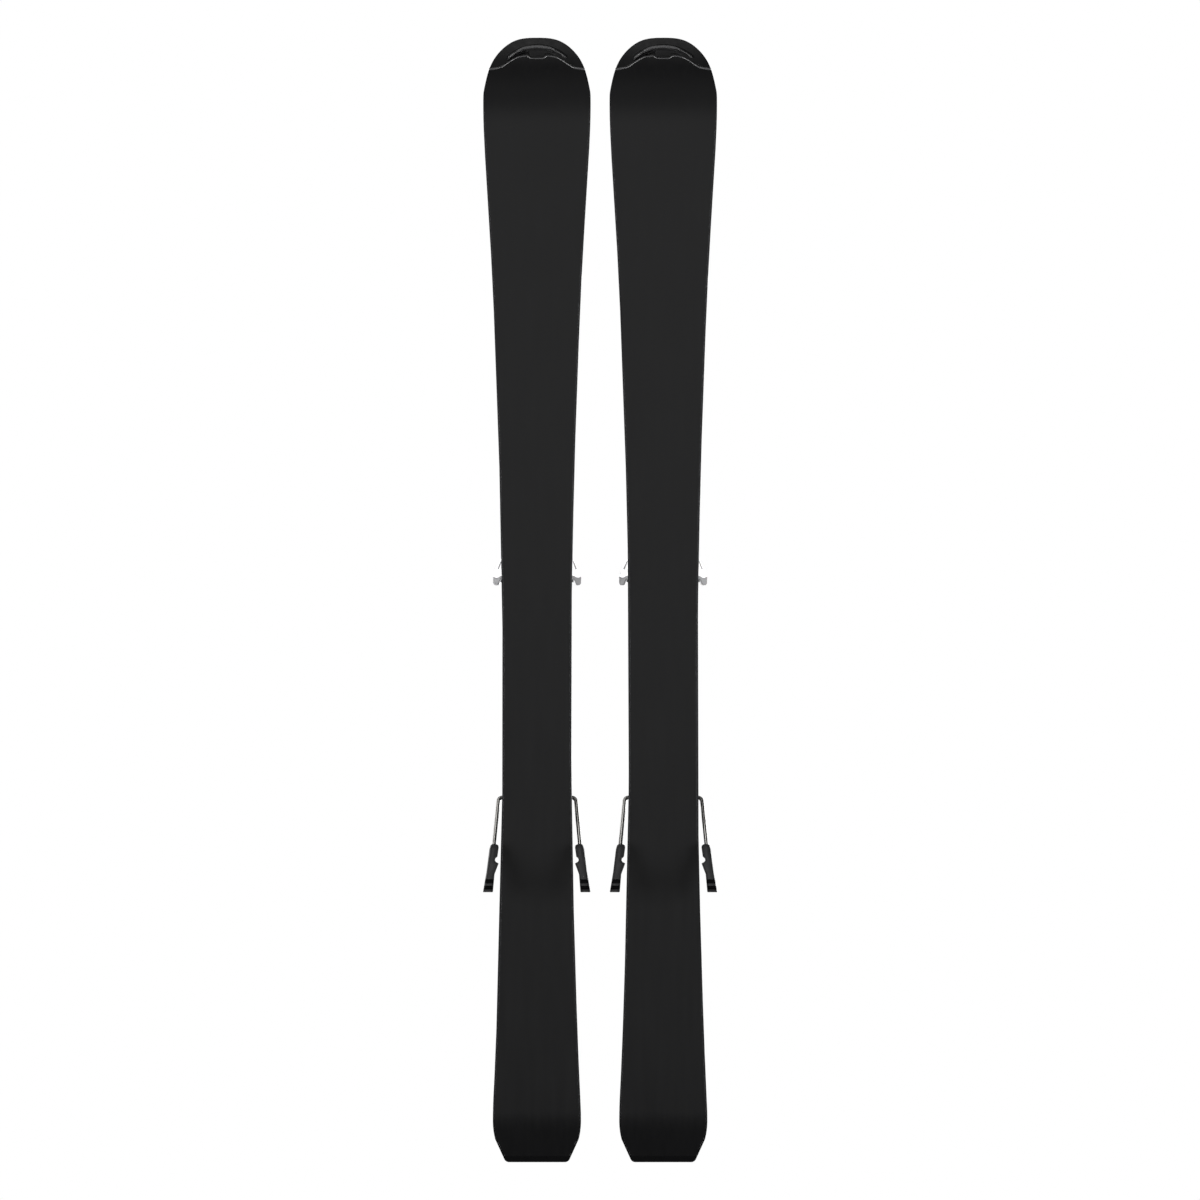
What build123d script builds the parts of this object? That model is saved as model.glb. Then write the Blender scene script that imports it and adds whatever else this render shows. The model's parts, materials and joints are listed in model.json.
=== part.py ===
from build123d import *
import math
import os

# Pair of junior alpine skis with step-in bindings, in millimetres.
# +Z is up, +Y points to the ski tips and +X to the skier's right.
# The origin is on the left ski's running surface, on its centre line at the waist.
# The skis lie flat with the bindings up, heels closed and the brakes swung down.

os.makedirs("parts", exist_ok=True)

# ---------------------------------------------------------------- driving dimensions
SKI_SPACING = 123.4  # centre line to centre line
SKIS = {"left": 0.0, "right": SKI_SPACING}

# Ski, seen from above
TIP_END = 650.4
TIP_WIDEST = (52.5, 584.5)
TAIL_WIDEST = (43.05, -409.3)
TAIL_END = -449.5
TAIL_END_HALF = 26.9
TAIL_SHOULDER = (40.7, -427.0)
TAIL_CORNER = (32.0, -446.4)
SIDECUT = [(50.6, 530.7), (45.2, 442.6), (39.95, 325.1), (35.4, 178.2), (33.45, 2.0),
           (34.75, -145.0), (37.75, -262.4), (42.0, -375.0)]
SHOVEL_CENTRE = (0.0, 598.0)
SHOVEL = [(24.1, 646.2), (38.0, 634.5), (47.4, 616.8), (51.6, 599.2)]
EDGE_WIDTH = 1.6
SIDEWALL_INSET = 0.5
SIDEWALL_WIDTH = 4.0

# Ski, seen from the side
SHOVEL_START = 560.0
SHOVEL_RADIUS = 145.0
SHOVEL_REACH = 42.0  # degrees, past the tip end
KICK_START = -400.0
KICK_RADIUS = 90.0
KICK_ANGLE = 12.2
KICK_REACH = 40.0
BASE_THICKNESS = 1.6
TOPSHEET_THICKNESS = 0.8
WAIST_THICKNESS = 14.0
TIP_THICKNESS = 5.5
TAIL_THICKNESS = 6.0
DECK_FRONT = 235.0  # flat seat for the binding
DECK_REAR = -235.0

# Tip and tail protectors
TIP_SEAM = [(50.0, 617.6), (39.8, 620.1), (29.3, 624.6), (17.9, 630.7), (0.0, 633.4)]
TIP_TAB = [(9.2, 634.0), (6.6, 629.8)]
TIP_RIB_END = (29.0, 631.0)
TIP_RIB_PEAK = 642.2
TIP_RIB_WIDTH = 2.0
TIP_RIB_HEIGHT = 0.8
TIP_OVERLAP = 0.8
TAIL_SEAM = -443.4

# Boot, as the binding holds it
SOLE_HEIGHT = 36.0
SOLE_THICKNESS = 16.5
TOE_CENTRE = 108.0
TOE_RADIUS = 36.5
HEEL_CENTRE = -79.0
HEEL_RADIUS = 34.0
HEEL_LEDGE = 64.5

# Binding screws
SCREW_RADIUS = 2.5
SCREW_HEAD_RADIUS = 4.2
SCREW_HEAD_HEIGHT = 2.4
SCREW_TIP = 5.0
SCREW_CROSS = (4.4, 1.1)
SCREW_CROSS_DEPTH = 1.6
SEAT_HEIGHT = 20.0  # top of the toe plate and of the heel track
TOE_SCREWS = [(-18, 93), (18, 93), (-14, 217), (14, 217)]
HEEL_SCREWS = [(-14, -68), (14, -68), (-14, -216), (14, -216)]

# Toe piece
TOE_PLATE_FRONT = 226.0
TOE_PLATE_REAR = 84.0
TOE_PLATE_HALF = 27.0
TOE_EAR = (34.7, 118.6, 3.2)  # half span, place and length
TOE_REAR = 146.0
TOE_FRONT = 209.0
TOE_BLOCK_REAR = 171.0
WING_PIN = (17.0, 160.0)
WING_PIN_RADIUS = 2.5
WING_HUB_RADIUS = 8.0
WING_BOTTOM = 38.0
WING_TOP = 57.0
WING_LIP_REACH = 8.0
WING_LIP_GAP = 0.5  # over the boot sole
WING_GRIP = (12, 44, 76)  # degrees from straight ahead
WING_END = (39.4, 114.4)
WING_CHEEK = (42.5, 117.4)
WING_BULGE = (41.3, 129.0)
WING_WAIST = (34.7, 140.2)
TOE_SPRING_HEIGHT = 47.0
TOE_BORE_RADIUS = 7.0
TOE_BORE_REAR = 174.0
TOE_SPRING_RADII = (6.2, 4.0)
TOE_SPRING_FRONT = 196.0
TOE_COVER_TOP = 63.5
WING_PIN_FLOOR = 30.0
WING_PIN_LENGTH = 31.0
WING_SLOT_GAP = 0.5
PEDESTAL = (46.0, 34.0, 4.0)  # width, length and corner radius
PEDESTAL_HEIGHT = 12.0
TOE_PAD = (48.0, 36.0, 6.0)
TOE_PAD_PLACE = 121.0
TOE_PAD_ROUNDING = 1.5
RELEASE_SCREW_LENGTH = 11.0
RELEASE_SLOT = (1.6, 2.0)  # width and depth
RELEASE_SCREW_GAP = 0.4
PIN_CLEARANCE = 0.05

# Heel piece
TRACK_FRONT = -60.0
TRACK_REAR = -224.0
CARRIAGE_FRONT = -74.0
CARRIAGE_REAR = -208.0
CARRIAGE_TOP = 25.0
CARRIAGE_HALF = 30.0
HEEL_PIVOT = (-188.0, 38.0)
HEEL_PIVOT_RADIUS = 3.0
HOUSING_HALF = 23.5
HOUSING_FRONT = -121.0
LEVER_PIVOT = (-150.0, 66.0)
LEVER_PIN_RADIUS = 2.5
LEVER_ANGLE = 30.0
LEVER_LENGTH = 78.0
LEVER_HALF = 28.4
LEVER_SLOT_HALF = 24.2
LEVER_FORK = 42.0  # end of the slot from the pin
LEVER_PIN_SPARE = 0.2
HEEL_SPRING_HEIGHT = 54.0
HEEL_BORE_RADIUS = 7.2
HEEL_BORE_FRONT = -140.0
HEEL_BORE_LENGTH = 70.0
HEEL_SPRING_RADII = (6.4, 4.0)
HEEL_SPRING_LENGTH = 46.0
HEEL_SCREW_FACE = -197.5
TRACK_FOOT = (40.0, 3.0)
TRACK_HEAD = (50.0, 3.0)
LOCK_SLOT = (12.0, 3.6, 1.0)  # width, length and corner radius
LOCK_SLOT_PITCH = 8.0
LOCK_SLOTS = 15
CHEEK_PLACE = 26.75
CHEEK_HALF_WIDTH = 2.25
HEEL_PIN_HALF = 29.4
CUP_WALL = 6.5
CUP_FLOOR = 40.0
CUP_LEDGE = 4.0
CUP_LEDGE_REACH = 7.0
CUP_NECK = (40.0, 12.0)
CUP_MOUTH = -104.0

# Brake
BRAKE_PIVOT = (-93.3, 31.0)
BRAKE_ANGLE = 40.0  # arms below the horizontal
PEDAL_ANGLE = 44.0  # pedal above the horizontal
WIRE_RADIUS = 1.75
WIRE_CORNER = 37.6
WIRE_FLARE = 0.073
WIRE_LENGTH = 112.0
WIRE_BEND = 5.0
FOOT_OUTLINE = [(37.9, 61.0), (44.2, 61.0), (46.4, 68.0), (51.6, 119.7), (42.9, 120.4),
                (41.5, 100.6), (38.3, 83.4), (40.3, 80.6), (38.0, 77.9)]
FOOT_PROFILE = [(60, -4.5), (66, -6.5), (112, -7), (121, 2), (121, 7), (68, 5.5), (60, 4)]
FOOT_HALF_THICKNESS = 7.0
FOOT_SOCKET = 60.0
BRAKE_BASE = (56.0, 36.0, 1.5)
BEARING_PLACE = 22.0
BEARING_RADIUS = 4.3
BEARING_HALF_WIDTH = 8.0
PEDAL_HUB_RADIUS = 3.8
PEDAL_HUB_HALF = 8.0
PEDAL_HALF = 22.0
BRAKE_SPRING_PLACE = 11.0
BRAKE_SPRING_HALF = 2.4
BRAKE_SPRING_RADII = (3.6, 2.2)

# Blanks and cutters, larger than anything they meet
BLANK_HALF = 60.0
BLANK_FLOOR = -20.0
BLANK_HEIGHT = 120.0
BLANK_FRONT = 670.0
CUT = 80.0


# ---------------------------------------------------------------- shared planes and shapes
def plan_plane(x, height=0.0):
    """Plane seen from above, centred on the ski at x."""
    return Plane(origin=(x, 0, height))


def side_plane(x):
    """Plane seen from the skier's right: first axis +Y, second axis +Z."""
    return Plane(origin=(x, 0, 0), x_dir=(0, 1, 0), z_dir=(1, 0, 0))


def cross_plane(x, y):
    """Plane across the ski: first axis +X, second axis +Z, extruding towards the tail."""
    return Plane(origin=(x, y, 0), x_dir=(1, 0, 0), z_dir=(0, -1, 0))


def ski_outline(inset=0.0):
    """Adds the plan outline of a ski to the open sketch, drawn in by inset."""
    bevel = Vector(*TAIL_CORNER) - Vector(*TAIL_SHOULDER)
    inward = bevel.normalized().rotate(Axis.Z, -90) * inset
    shovel = []
    for point in SHOVEL:
        to_centre = Vector(*SHOVEL_CENTRE) - Vector(*point)
        shovel.append(Vector(*point) + to_centre.normalized() * inset)
    sidecut = [(across - inset, along) for across, along in SIDECUT]
    tip_widest = (TIP_WIDEST[0] - inset, TIP_WIDEST[1])
    tail_widest = (TAIL_WIDEST[0] - inset, TAIL_WIDEST[1])
    tail_end = TAIL_END + inset
    with BuildLine() as outline:
        Spline((0, TIP_END - inset), *shovel, tip_widest, tangents=((1, 0), (0, -1)))
        Spline(tip_widest, *sidecut, tail_widest, tangents=((0, -1), (0, -1)))
        shoulder = TangentArc(tail_widest, Vector(*TAIL_SHOULDER) + inward, tangent=(0, -1))
        side = Line(shoulder @ 1, Vector(*TAIL_CORNER) + inward)
        TangentArc(side @ 1, (TAIL_END_HALF - inset, tail_end), tangent=side % 1)
        Line((TAIL_END_HALF - inset, tail_end), (0, tail_end))
        mirror(about=Plane.YZ)
    make_face(outline.edges())


def sole_line(rise):
    """Adds the running surface's side view, moved up by rise, from tail to tip."""
    kick = math.radians(KICK_ANGLE)
    radius = KICK_RADIUS - rise
    kick_end = (KICK_START - radius * math.sin(kick), KICK_RADIUS - radius * math.cos(kick))
    far_end = (kick_end[0] - KICK_REACH * math.cos(kick), kick_end[1] + KICK_REACH * math.sin(kick))
    Line(far_end, kick_end)
    CenterArc((KICK_START, KICK_RADIUS), radius, 270 - KICK_ANGLE, KICK_ANGLE)
    Line((KICK_START, rise), (SHOVEL_START, rise))
    shovel = CenterArc((SHOVEL_START, SHOVEL_RADIUS), SHOVEL_RADIUS - rise, 270, SHOVEL_REACH)
    return far_end, shovel @ 1


def deck_line(drop):
    """Adds the top surface's side view, moved down by drop, from tail to tip."""
    kick = math.radians(KICK_ANGLE)
    tail = TAIL_THICKNESS - drop
    waist = WAIST_THICKNESS - drop
    tip = TIP_THICKNESS - drop
    radius = KICK_RADIUS - tail
    kick_end = (KICK_START - radius * math.sin(kick), KICK_RADIUS - radius * math.cos(kick))
    far_end = (kick_end[0] - KICK_REACH * math.cos(kick), kick_end[1] + KICK_REACH * math.sin(kick))
    Line(far_end, kick_end)
    CenterArc((KICK_START, KICK_RADIUS), radius, 270 - KICK_ANGLE, KICK_ANGLE)
    Spline((KICK_START, tail), (DECK_REAR, waist), tangents=((1, 0), (1, 0)))
    Line((DECK_REAR, waist), (DECK_FRONT, waist))
    Spline((DECK_FRONT, waist), (SHOVEL_START, tip), tangents=((1, 0), (1, 0)))
    shovel = CenterArc((SHOVEL_START, SHOVEL_RADIUS), SHOVEL_RADIUS - tip, 270, SHOVEL_REACH)
    return far_end, shovel @ 1


def ski_layer(lower, upper):
    """Adds the side view of a layer between two of the lines above to the open sketch."""
    with BuildLine() as outline:
        low_tail, low_tip = lower()
        high_tail, high_tip = upper()
        Line(low_tail, high_tail)
        Line(low_tip, high_tip)
    make_face(outline.edges())


def tip_region():
    """Adds the plan area of the tip protector to the open sketch."""
    left_seam = [(-across, along) for across, along in TIP_SEAM]
    seam = left_seam + TIP_SEAM[-2::-1]
    with BuildLine() as region:
        Spline(*seam)
        Polyline(seam[0], (-BLANK_HALF, seam[0][1]), (-BLANK_HALF, BLANK_FRONT), (BLANK_HALF, BLANK_FRONT),
                 (BLANK_HALF, seam[0][1]), seam[-1])
    make_face(region.edges())
    with BuildLine() as tab:
        Polyline(*TIP_TAB, *[(-across, along) for across, along in reversed(TIP_TAB)], close=True)
    make_face(tab.edges())


# ---------------------------------------------------------------- ski
def running_base(x):
    """Sintered sole between the steel edges."""
    with BuildPart() as base:
        with BuildSketch(side_plane(x)):
            ski_layer(lambda: sole_line(0), lambda: sole_line(BASE_THICKNESS))
        extrude(amount=BLANK_HALF, both=True)
        with BuildSketch(plan_plane(x, BLANK_FLOOR)):
            ski_outline(EDGE_WIDTH)
        extrude(amount=BLANK_HEIGHT, mode=Mode.INTERSECT)
        cut_protectors(x)
    return base.part


def cut_protectors(x):
    """Removes the tip and tail protectors' areas from the open part."""
    with BuildSketch(plan_plane(x, BLANK_FLOOR)) as protectors:
        tip_region()
        with Locations((0, TAIL_SEAM - BLANK_HALF)):
            Rectangle(2 * BLANK_HALF, 2 * BLANK_HALF)
    extrude(protectors.sketch, amount=BLANK_HEIGHT, mode=Mode.SUBTRACT)


def steel_edges(x):
    """Two steel strips along the running surface."""
    with BuildPart() as edges:
        with BuildSketch(side_plane(x)):
            ski_layer(lambda: sole_line(0), lambda: sole_line(BASE_THICKNESS))
        extrude(amount=BLANK_HALF, both=True)
        with BuildSketch(plan_plane(x, BLANK_FLOOR)):
            ski_outline()
        extrude(amount=BLANK_HEIGHT, mode=Mode.INTERSECT)
        with BuildSketch(plan_plane(x, BLANK_FLOOR)):
            ski_outline(EDGE_WIDTH)
        extrude(amount=BLANK_HEIGHT, mode=Mode.SUBTRACT)
        cut_protectors(x)
    return edges.part


def cut_screw_holes(x):
    """Removes the binding screws' shanks from the open part."""
    with BuildSketch(plan_plane(x, SCREW_TIP)) as holes:
        with Locations(*TOE_SCREWS, *HEEL_SCREWS):
            Circle(SCREW_RADIUS)
    extrude(holes.sketch, amount=CUT, mode=Mode.SUBTRACT)


def wood_core(x):
    """Wood core with its glass skins."""
    with BuildPart() as core:
        with BuildSketch(side_plane(x)):
            ski_layer(lambda: sole_line(BASE_THICKNESS), lambda: deck_line(TOPSHEET_THICKNESS))
        extrude(amount=BLANK_HALF, both=True)
        with BuildSketch(plan_plane(x, BLANK_FLOOR)):
            ski_outline(SIDEWALL_INSET + SIDEWALL_WIDTH)
        extrude(amount=BLANK_HEIGHT, mode=Mode.INTERSECT)
        cut_protectors(x)
        cut_screw_holes(x)
    return core.part


def sidewalls(x):
    """Two plastic strips over the steel edges."""
    with BuildPart() as walls:
        with BuildSketch(side_plane(x)):
            ski_layer(lambda: sole_line(BASE_THICKNESS), lambda: deck_line(TOPSHEET_THICKNESS))
        extrude(amount=BLANK_HALF, both=True)
        with BuildSketch(plan_plane(x, BLANK_FLOOR)):
            ski_outline(SIDEWALL_INSET)
        extrude(amount=BLANK_HEIGHT, mode=Mode.INTERSECT)
        with BuildSketch(plan_plane(x, BLANK_FLOOR)):
            ski_outline(SIDEWALL_INSET + SIDEWALL_WIDTH)
        extrude(amount=BLANK_HEIGHT, mode=Mode.SUBTRACT)
        cut_protectors(x)
    return walls.part


def topsheet(x):
    """Printed plastic skin on the core."""
    with BuildPart() as sheet:
        with BuildSketch(side_plane(x)):
            ski_layer(lambda: deck_line(TOPSHEET_THICKNESS), lambda: deck_line(0))
        extrude(amount=BLANK_HALF, both=True)
        with BuildSketch(plan_plane(x, BLANK_FLOOR)):
            ski_outline(SIDEWALL_INSET)
        extrude(amount=BLANK_HEIGHT, mode=Mode.INTERSECT)
        cut_protectors(x)
        cut_screw_holes(x)
    return sheet.part


def tip_protector(x):
    """Moulded cap that ends the shovel, with a rib across its underside."""
    with BuildPart() as cap:
        with BuildSketch(side_plane(x)):
            ski_layer(lambda: sole_line(0), lambda: deck_line(-TIP_OVERLAP))
        extrude(amount=BLANK_HALF, both=True)
        with BuildSketch(plan_plane(x, BLANK_FLOOR)):
            ski_outline()
        extrude(amount=BLANK_HEIGHT, mode=Mode.INTERSECT)
        with BuildSketch(plan_plane(x, BLANK_FLOOR)):
            tip_region()
        extrude(amount=BLANK_HEIGHT, mode=Mode.INTERSECT)
        with BuildPart(mode=Mode.PRIVATE) as rib:
            with BuildSketch(side_plane(x)):
                ski_layer(lambda: sole_line(-TIP_RIB_HEIGHT), lambda: sole_line(1))
            extrude(amount=BLANK_HALF, both=True)
            with BuildSketch(plan_plane(x, BLANK_FLOOR)):
                with BuildLine():
                    across, along = TIP_RIB_END
                    half = TIP_RIB_WIDTH / 2
                    outer = ThreePointArc((-across, along + half), (0, TIP_RIB_PEAK + half),
                                          (across, along + half))
                    inner = ThreePointArc((-across, along - half), (0, TIP_RIB_PEAK - half),
                                          (across, along - half))
                    Line(outer @ 0, inner @ 0)
                    Line(outer @ 1, inner @ 1)
                make_face()
            extrude(amount=BLANK_HEIGHT, mode=Mode.INTERSECT)
        add(rib.part)
    return cap.part


def tail_protector(x):
    """Moulded block across the tail end."""
    with BuildPart() as cap:
        with BuildSketch(side_plane(x)):
            ski_layer(lambda: sole_line(0), lambda: deck_line(0))
        extrude(amount=BLANK_HALF, both=True)
        with BuildSketch(plan_plane(x, BLANK_FLOOR)):
            ski_outline()
        extrude(amount=BLANK_HEIGHT, mode=Mode.INTERSECT)
        with BuildSketch(plan_plane(x, BLANK_FLOOR)):
            with Locations((0, TAIL_SEAM - BLANK_HALF)):
                Rectangle(2 * BLANK_HALF, 2 * BLANK_HALF)
        extrude(amount=BLANK_HEIGHT, mode=Mode.INTERSECT)
    return cap.part


def binding_screws(x):
    """Eight equal countersunk screws that hold the binding to the ski."""
    with BuildPart() as screws:
        shank = SEAT_HEIGHT - SCREW_HEAD_HEIGHT - SCREW_TIP
        with BuildSketch(plan_plane(x, SCREW_TIP)):
            with Locations(*TOE_SCREWS, *HEEL_SCREWS):
                Circle(SCREW_RADIUS)
        extrude(amount=shank)
        for across, along in TOE_SCREWS + HEEL_SCREWS:
            with Locations((x + across, along, SEAT_HEIGHT - SCREW_HEAD_HEIGHT / 2)):
                Cone(SCREW_RADIUS, SCREW_HEAD_RADIUS, SCREW_HEAD_HEIGHT)
        with BuildSketch(plan_plane(x, SEAT_HEIGHT)):
            with Locations(*TOE_SCREWS, *HEEL_SCREWS):
                Rectangle(*SCREW_CROSS)
                Rectangle(*SCREW_CROSS, rotation=90)
        extrude(amount=-SCREW_CROSS_DEPTH, mode=Mode.SUBTRACT)
    return screws.part


def cut_screw_seats(x, places):
    """Removes the screws' shanks and countersunk heads from the open part."""
    with BuildSketch(plan_plane(x, 0)) as holes:
        with Locations(*places):
            Circle(SCREW_RADIUS)
    extrude(holes.sketch, amount=SEAT_HEIGHT, mode=Mode.SUBTRACT)
    for across, along in places:
        with Locations((x + across, along, SEAT_HEIGHT - SCREW_HEAD_HEIGHT / 2)):
            Cone(SCREW_RADIUS, SCREW_HEAD_RADIUS, SCREW_HEAD_HEIGHT, mode=Mode.SUBTRACT)


# ---------------------------------------------------------------- toe piece
def toe_plate(x):
    """Plate under the toe piece, with a pedestal for the gliding pad."""
    length = TOE_PLATE_FRONT - TOE_PLATE_REAR
    middle = (TOE_PLATE_FRONT + TOE_PLATE_REAR) / 2
    ear_half, ear_place, ear_length = TOE_EAR
    with BuildPart() as plate:
        with BuildSketch(plan_plane(x, WAIST_THICKNESS)):
            with Locations((0, middle)):
                RectangleRounded(2 * TOE_PLATE_HALF, length, 9)
            with Locations((0, ear_place)):
                RectangleRounded(2 * ear_half, ear_length, 1)
        extrude(amount=SEAT_HEIGHT - WAIST_THICKNESS)
        with BuildSketch(plan_plane(x, SEAT_HEIGHT)):
            with Locations((0, TOE_PAD_PLACE)):
                RectangleRounded(*PEDESTAL)
        extrude(amount=PEDESTAL_HEIGHT)
        cut_screw_seats(x, TOE_SCREWS)
    return plate.part


def toe_pad(x):
    """Slippery pad that the boot's toe rests on."""
    with BuildPart() as pad:
        with BuildSketch(plan_plane(x, SEAT_HEIGHT + PEDESTAL_HEIGHT)):
            with Locations((0, TOE_PAD_PLACE)):
                RectangleRounded(*TOE_PAD)
        extrude(amount=SOLE_HEIGHT - SEAT_HEIGHT - PEDESTAL_HEIGHT)
        fillet(pad.faces().sort_by(Axis.Z)[-1].edges(), TOE_PAD_ROUNDING)
    return pad.part


def toe_housing(x):
    """Toe casting: a base and a cover with the wings between them, and the spring's block."""
    with BuildPart() as housing:
        with BuildSketch(side_plane(x)):
            with BuildLine():
                Polyline((TOE_REAR, SEAT_HEIGHT), (TOE_FRONT - 2, SEAT_HEIGHT), (TOE_FRONT, 25),
                         (TOE_FRONT, 44))
                Spline((TOE_FRONT, 44), (199, 57), (176, 62.5), (TOE_REAR, TOE_COVER_TOP),
                       tangents=((-0.3, 1), (-1, 0)))
                Line((TOE_REAR, TOE_COVER_TOP), (TOE_REAR, SEAT_HEIGHT))
            make_face()
        extrude(amount=BLANK_HALF, both=True)
        with BuildSketch(plan_plane(x, 0)):
            with BuildLine():
                Polyline((0, TOE_REAR), (24, TOE_REAR), (27, TOE_REAR + 5), (26, 182),
                         (19, TOE_FRONT), (0, TOE_FRONT))
                mirror(about=Plane.YZ)
            make_face()
            fillet(vertices().group_by(Axis.Y)[-1], 8)
        extrude(amount=CUT, mode=Mode.INTERSECT)
        with BuildSketch(plan_plane(x, WING_BOTTOM - WING_SLOT_GAP)):
            with Locations((0, TOE_BLOCK_REAR - CUT / 2)):
                Rectangle(CUT, CUT)
        extrude(amount=WING_TOP - WING_BOTTOM + 2 * WING_SLOT_GAP, mode=Mode.SUBTRACT)
        with BuildSketch(cross_plane(x, TOE_FRONT + 1)):
            with Locations((0, TOE_SPRING_HEIGHT)):
                Circle(TOE_BORE_RADIUS)
        extrude(amount=TOE_FRONT + 1 - TOE_BORE_REAR, mode=Mode.SUBTRACT)
        with BuildSketch(plan_plane(x, WING_PIN_FLOOR)):
            with Locations(WING_PIN, (-WING_PIN[0], WING_PIN[1])):
                Circle(WING_PIN_RADIUS)
        extrude(amount=WING_PIN_LENGTH, mode=Mode.SUBTRACT)
    return housing.part


def wing_arc(radius, angle):
    """Point at an angle from straight ahead on a circle about the boot toe's centre."""
    turn = math.radians(angle)
    return (radius * math.sin(turn), TOE_CENTRE + radius * math.cos(turn))


def toe_wing(x, side):
    """Pivoting jaw that holds one side of the boot's toe; side is 1 on the right."""
    lip_height = SOLE_HEIGHT + SOLE_THICKNESS + WING_LIP_GAP
    start, middle, end = WING_GRIP
    with BuildPart() as wing:
        with BuildSketch(plan_plane(x, WING_BOTTOM)):
            with BuildLine():
                grip = ThreePointArc(*[wing_arc(TOE_RADIUS, angle) for angle in WING_GRIP])
                hub_out = (WING_PIN[0] + WING_HUB_RADIUS, WING_PIN[1])
                hub_in = (WING_PIN[0] - WING_HUB_RADIUS, WING_PIN[1])
                ThreePointArc(grip @ 1, WING_END, WING_CHEEK)
                ThreePointArc(WING_CHEEK, WING_BULGE, WING_WAIST)
                Line(WING_WAIST, hub_out)
                ThreePointArc(hub_out, (WING_PIN[0], WING_PIN[1] + WING_HUB_RADIUS), hub_in)
                Line(hub_in, grip @ 0)
            make_face()
            with Locations(WING_PIN):
                Circle(WING_PIN_RADIUS + PIN_CLEARANCE, mode=Mode.SUBTRACT)
        extrude(amount=WING_TOP - WING_BOTTOM)
        with BuildSketch(plan_plane(x, lip_height)):
            with BuildLine():
                root = [start + 2, middle, end - 2]
                outer = ThreePointArc(*[wing_arc(TOE_RADIUS + 1, angle) for angle in root])
                brim = [start + 4, middle, end - 4]
                lip_radius = TOE_RADIUS - WING_LIP_REACH
                inner = ThreePointArc(*[wing_arc(lip_radius, angle) for angle in brim])
                Line(outer @ 0, inner @ 0)
                Line(outer @ 1, inner @ 1)
            make_face()
        extrude(amount=WING_TOP - lip_height)
        if side < 0:
            mirror(about=side_plane(x), mode=Mode.REPLACE)
    return wing.part


def toe_wing_left(x):
    """Left jaw."""
    return toe_wing(x, -1)


def toe_wing_right(x):
    """Right jaw."""
    return toe_wing(x, 1)


def toe_wing_pins(x):
    """Two upright pins that the wings turn on."""
    with BuildPart() as pins:
        with BuildSketch(plan_plane(x, WING_PIN_FLOOR)):
            with Locations(WING_PIN, (-WING_PIN[0], WING_PIN[1])):
                Circle(WING_PIN_RADIUS)
        extrude(amount=WING_PIN_LENGTH)
    return pins.part


def toe_spring(x):
    """Release spring as a sleeve of the coil's outer and inner size."""
    with BuildPart() as spring:
        with BuildSketch(cross_plane(x, TOE_SPRING_FRONT)):
            with Locations((0, TOE_SPRING_HEIGHT)):
                Circle(TOE_SPRING_RADII[0])
                Circle(TOE_SPRING_RADII[1], mode=Mode.SUBTRACT)
        extrude(amount=TOE_SPRING_FRONT - TOE_BORE_REAR)
    return spring.part


def release_screw(x, face, height, radius, turned=False):
    """Slotted release screw with its axis along the ski; turned faces the tail."""
    slot_width, slot_depth = RELEASE_SLOT
    start = face + RELEASE_SCREW_LENGTH if turned else face
    with BuildPart() as screw:
        with BuildSketch(cross_plane(x, start)):
            with Locations((0, height)):
                Circle(radius)
        extrude(amount=RELEASE_SCREW_LENGTH)
        with BuildSketch(cross_plane(x, face + slot_depth if turned else face)):
            with Locations((0, height)):
                Rectangle(2 * (radius - slot_width), slot_width)
        extrude(amount=slot_depth, mode=Mode.SUBTRACT)
    return screw.part


def toe_release_screw(x):
    """Screw that sets the toe's release force."""
    return release_screw(x, TOE_FRONT - 1, TOE_SPRING_HEIGHT, TOE_BORE_RADIUS - RELEASE_SCREW_GAP)


# ---------------------------------------------------------------- heel piece
def heel_track(x):
    """T-shaped rail that the heel piece slides on, with a row of lock slots."""
    with BuildPart() as track:
        with BuildSketch(cross_plane(x, TRACK_FRONT)):
            with Locations((0, WAIST_THICKNESS + TRACK_FOOT[1] / 2)):
                Rectangle(*TRACK_FOOT)
            with Locations((0, SEAT_HEIGHT - TRACK_HEAD[1] / 2)):
                Rectangle(*TRACK_HEAD)
        extrude(amount=TRACK_FRONT - TRACK_REAR)
        with BuildSketch(plan_plane(x, SEAT_HEIGHT)):
            with Locations((0, (TRACK_FRONT + TRACK_REAR) / 2)):
                with GridLocations(1, LOCK_SLOT_PITCH, 1, LOCK_SLOTS):
                    RectangleRounded(*LOCK_SLOT)
        extrude(amount=-TRACK_HEAD[1], mode=Mode.SUBTRACT)
        cut_screw_seats(x, HEEL_SCREWS)
    return track.part


def heel_carriage(x):
    """Sliding base of the heel piece, hooked under the track, with two cheeks for the pivot."""
    with BuildPart() as carriage:
        with BuildSketch(cross_plane(x, CARRIAGE_FRONT)):
            with BuildLine():
                Polyline((0, CARRIAGE_TOP), (CARRIAGE_HALF - 2, CARRIAGE_TOP),
                         (CARRIAGE_HALF, CARRIAGE_TOP - 2), (CARRIAGE_HALF, 14.3), (20.3, 14.3),
                         (20.3, 16.7), (25.3, 16.7), (25.3, 20.3), (0, 20.3))
                mirror(about=Plane.YZ)
            make_face()
        extrude(amount=CARRIAGE_FRONT - CARRIAGE_REAR)
        for side in (-1, 1):
            with BuildSketch(side_plane(x).offset(side * CHEEK_PLACE)):
                with BuildLine():
                    rear, height = HEEL_PIVOT
                    Polyline((rear - 17, CARRIAGE_TOP), (rear + 17, CARRIAGE_TOP), (rear + 7, height + 6))
                    ThreePointArc((rear + 7, height + 6), (rear, height + 9.2), (rear - 7, height + 6))
                    Line((rear - 7, height + 6), (rear - 17, CARRIAGE_TOP))
                make_face()
                with Locations(HEEL_PIVOT):
                    Circle(HEEL_PIVOT_RADIUS, mode=Mode.SUBTRACT)
            extrude(amount=CHEEK_HALF_WIDTH, both=True)
    return carriage.part


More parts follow.
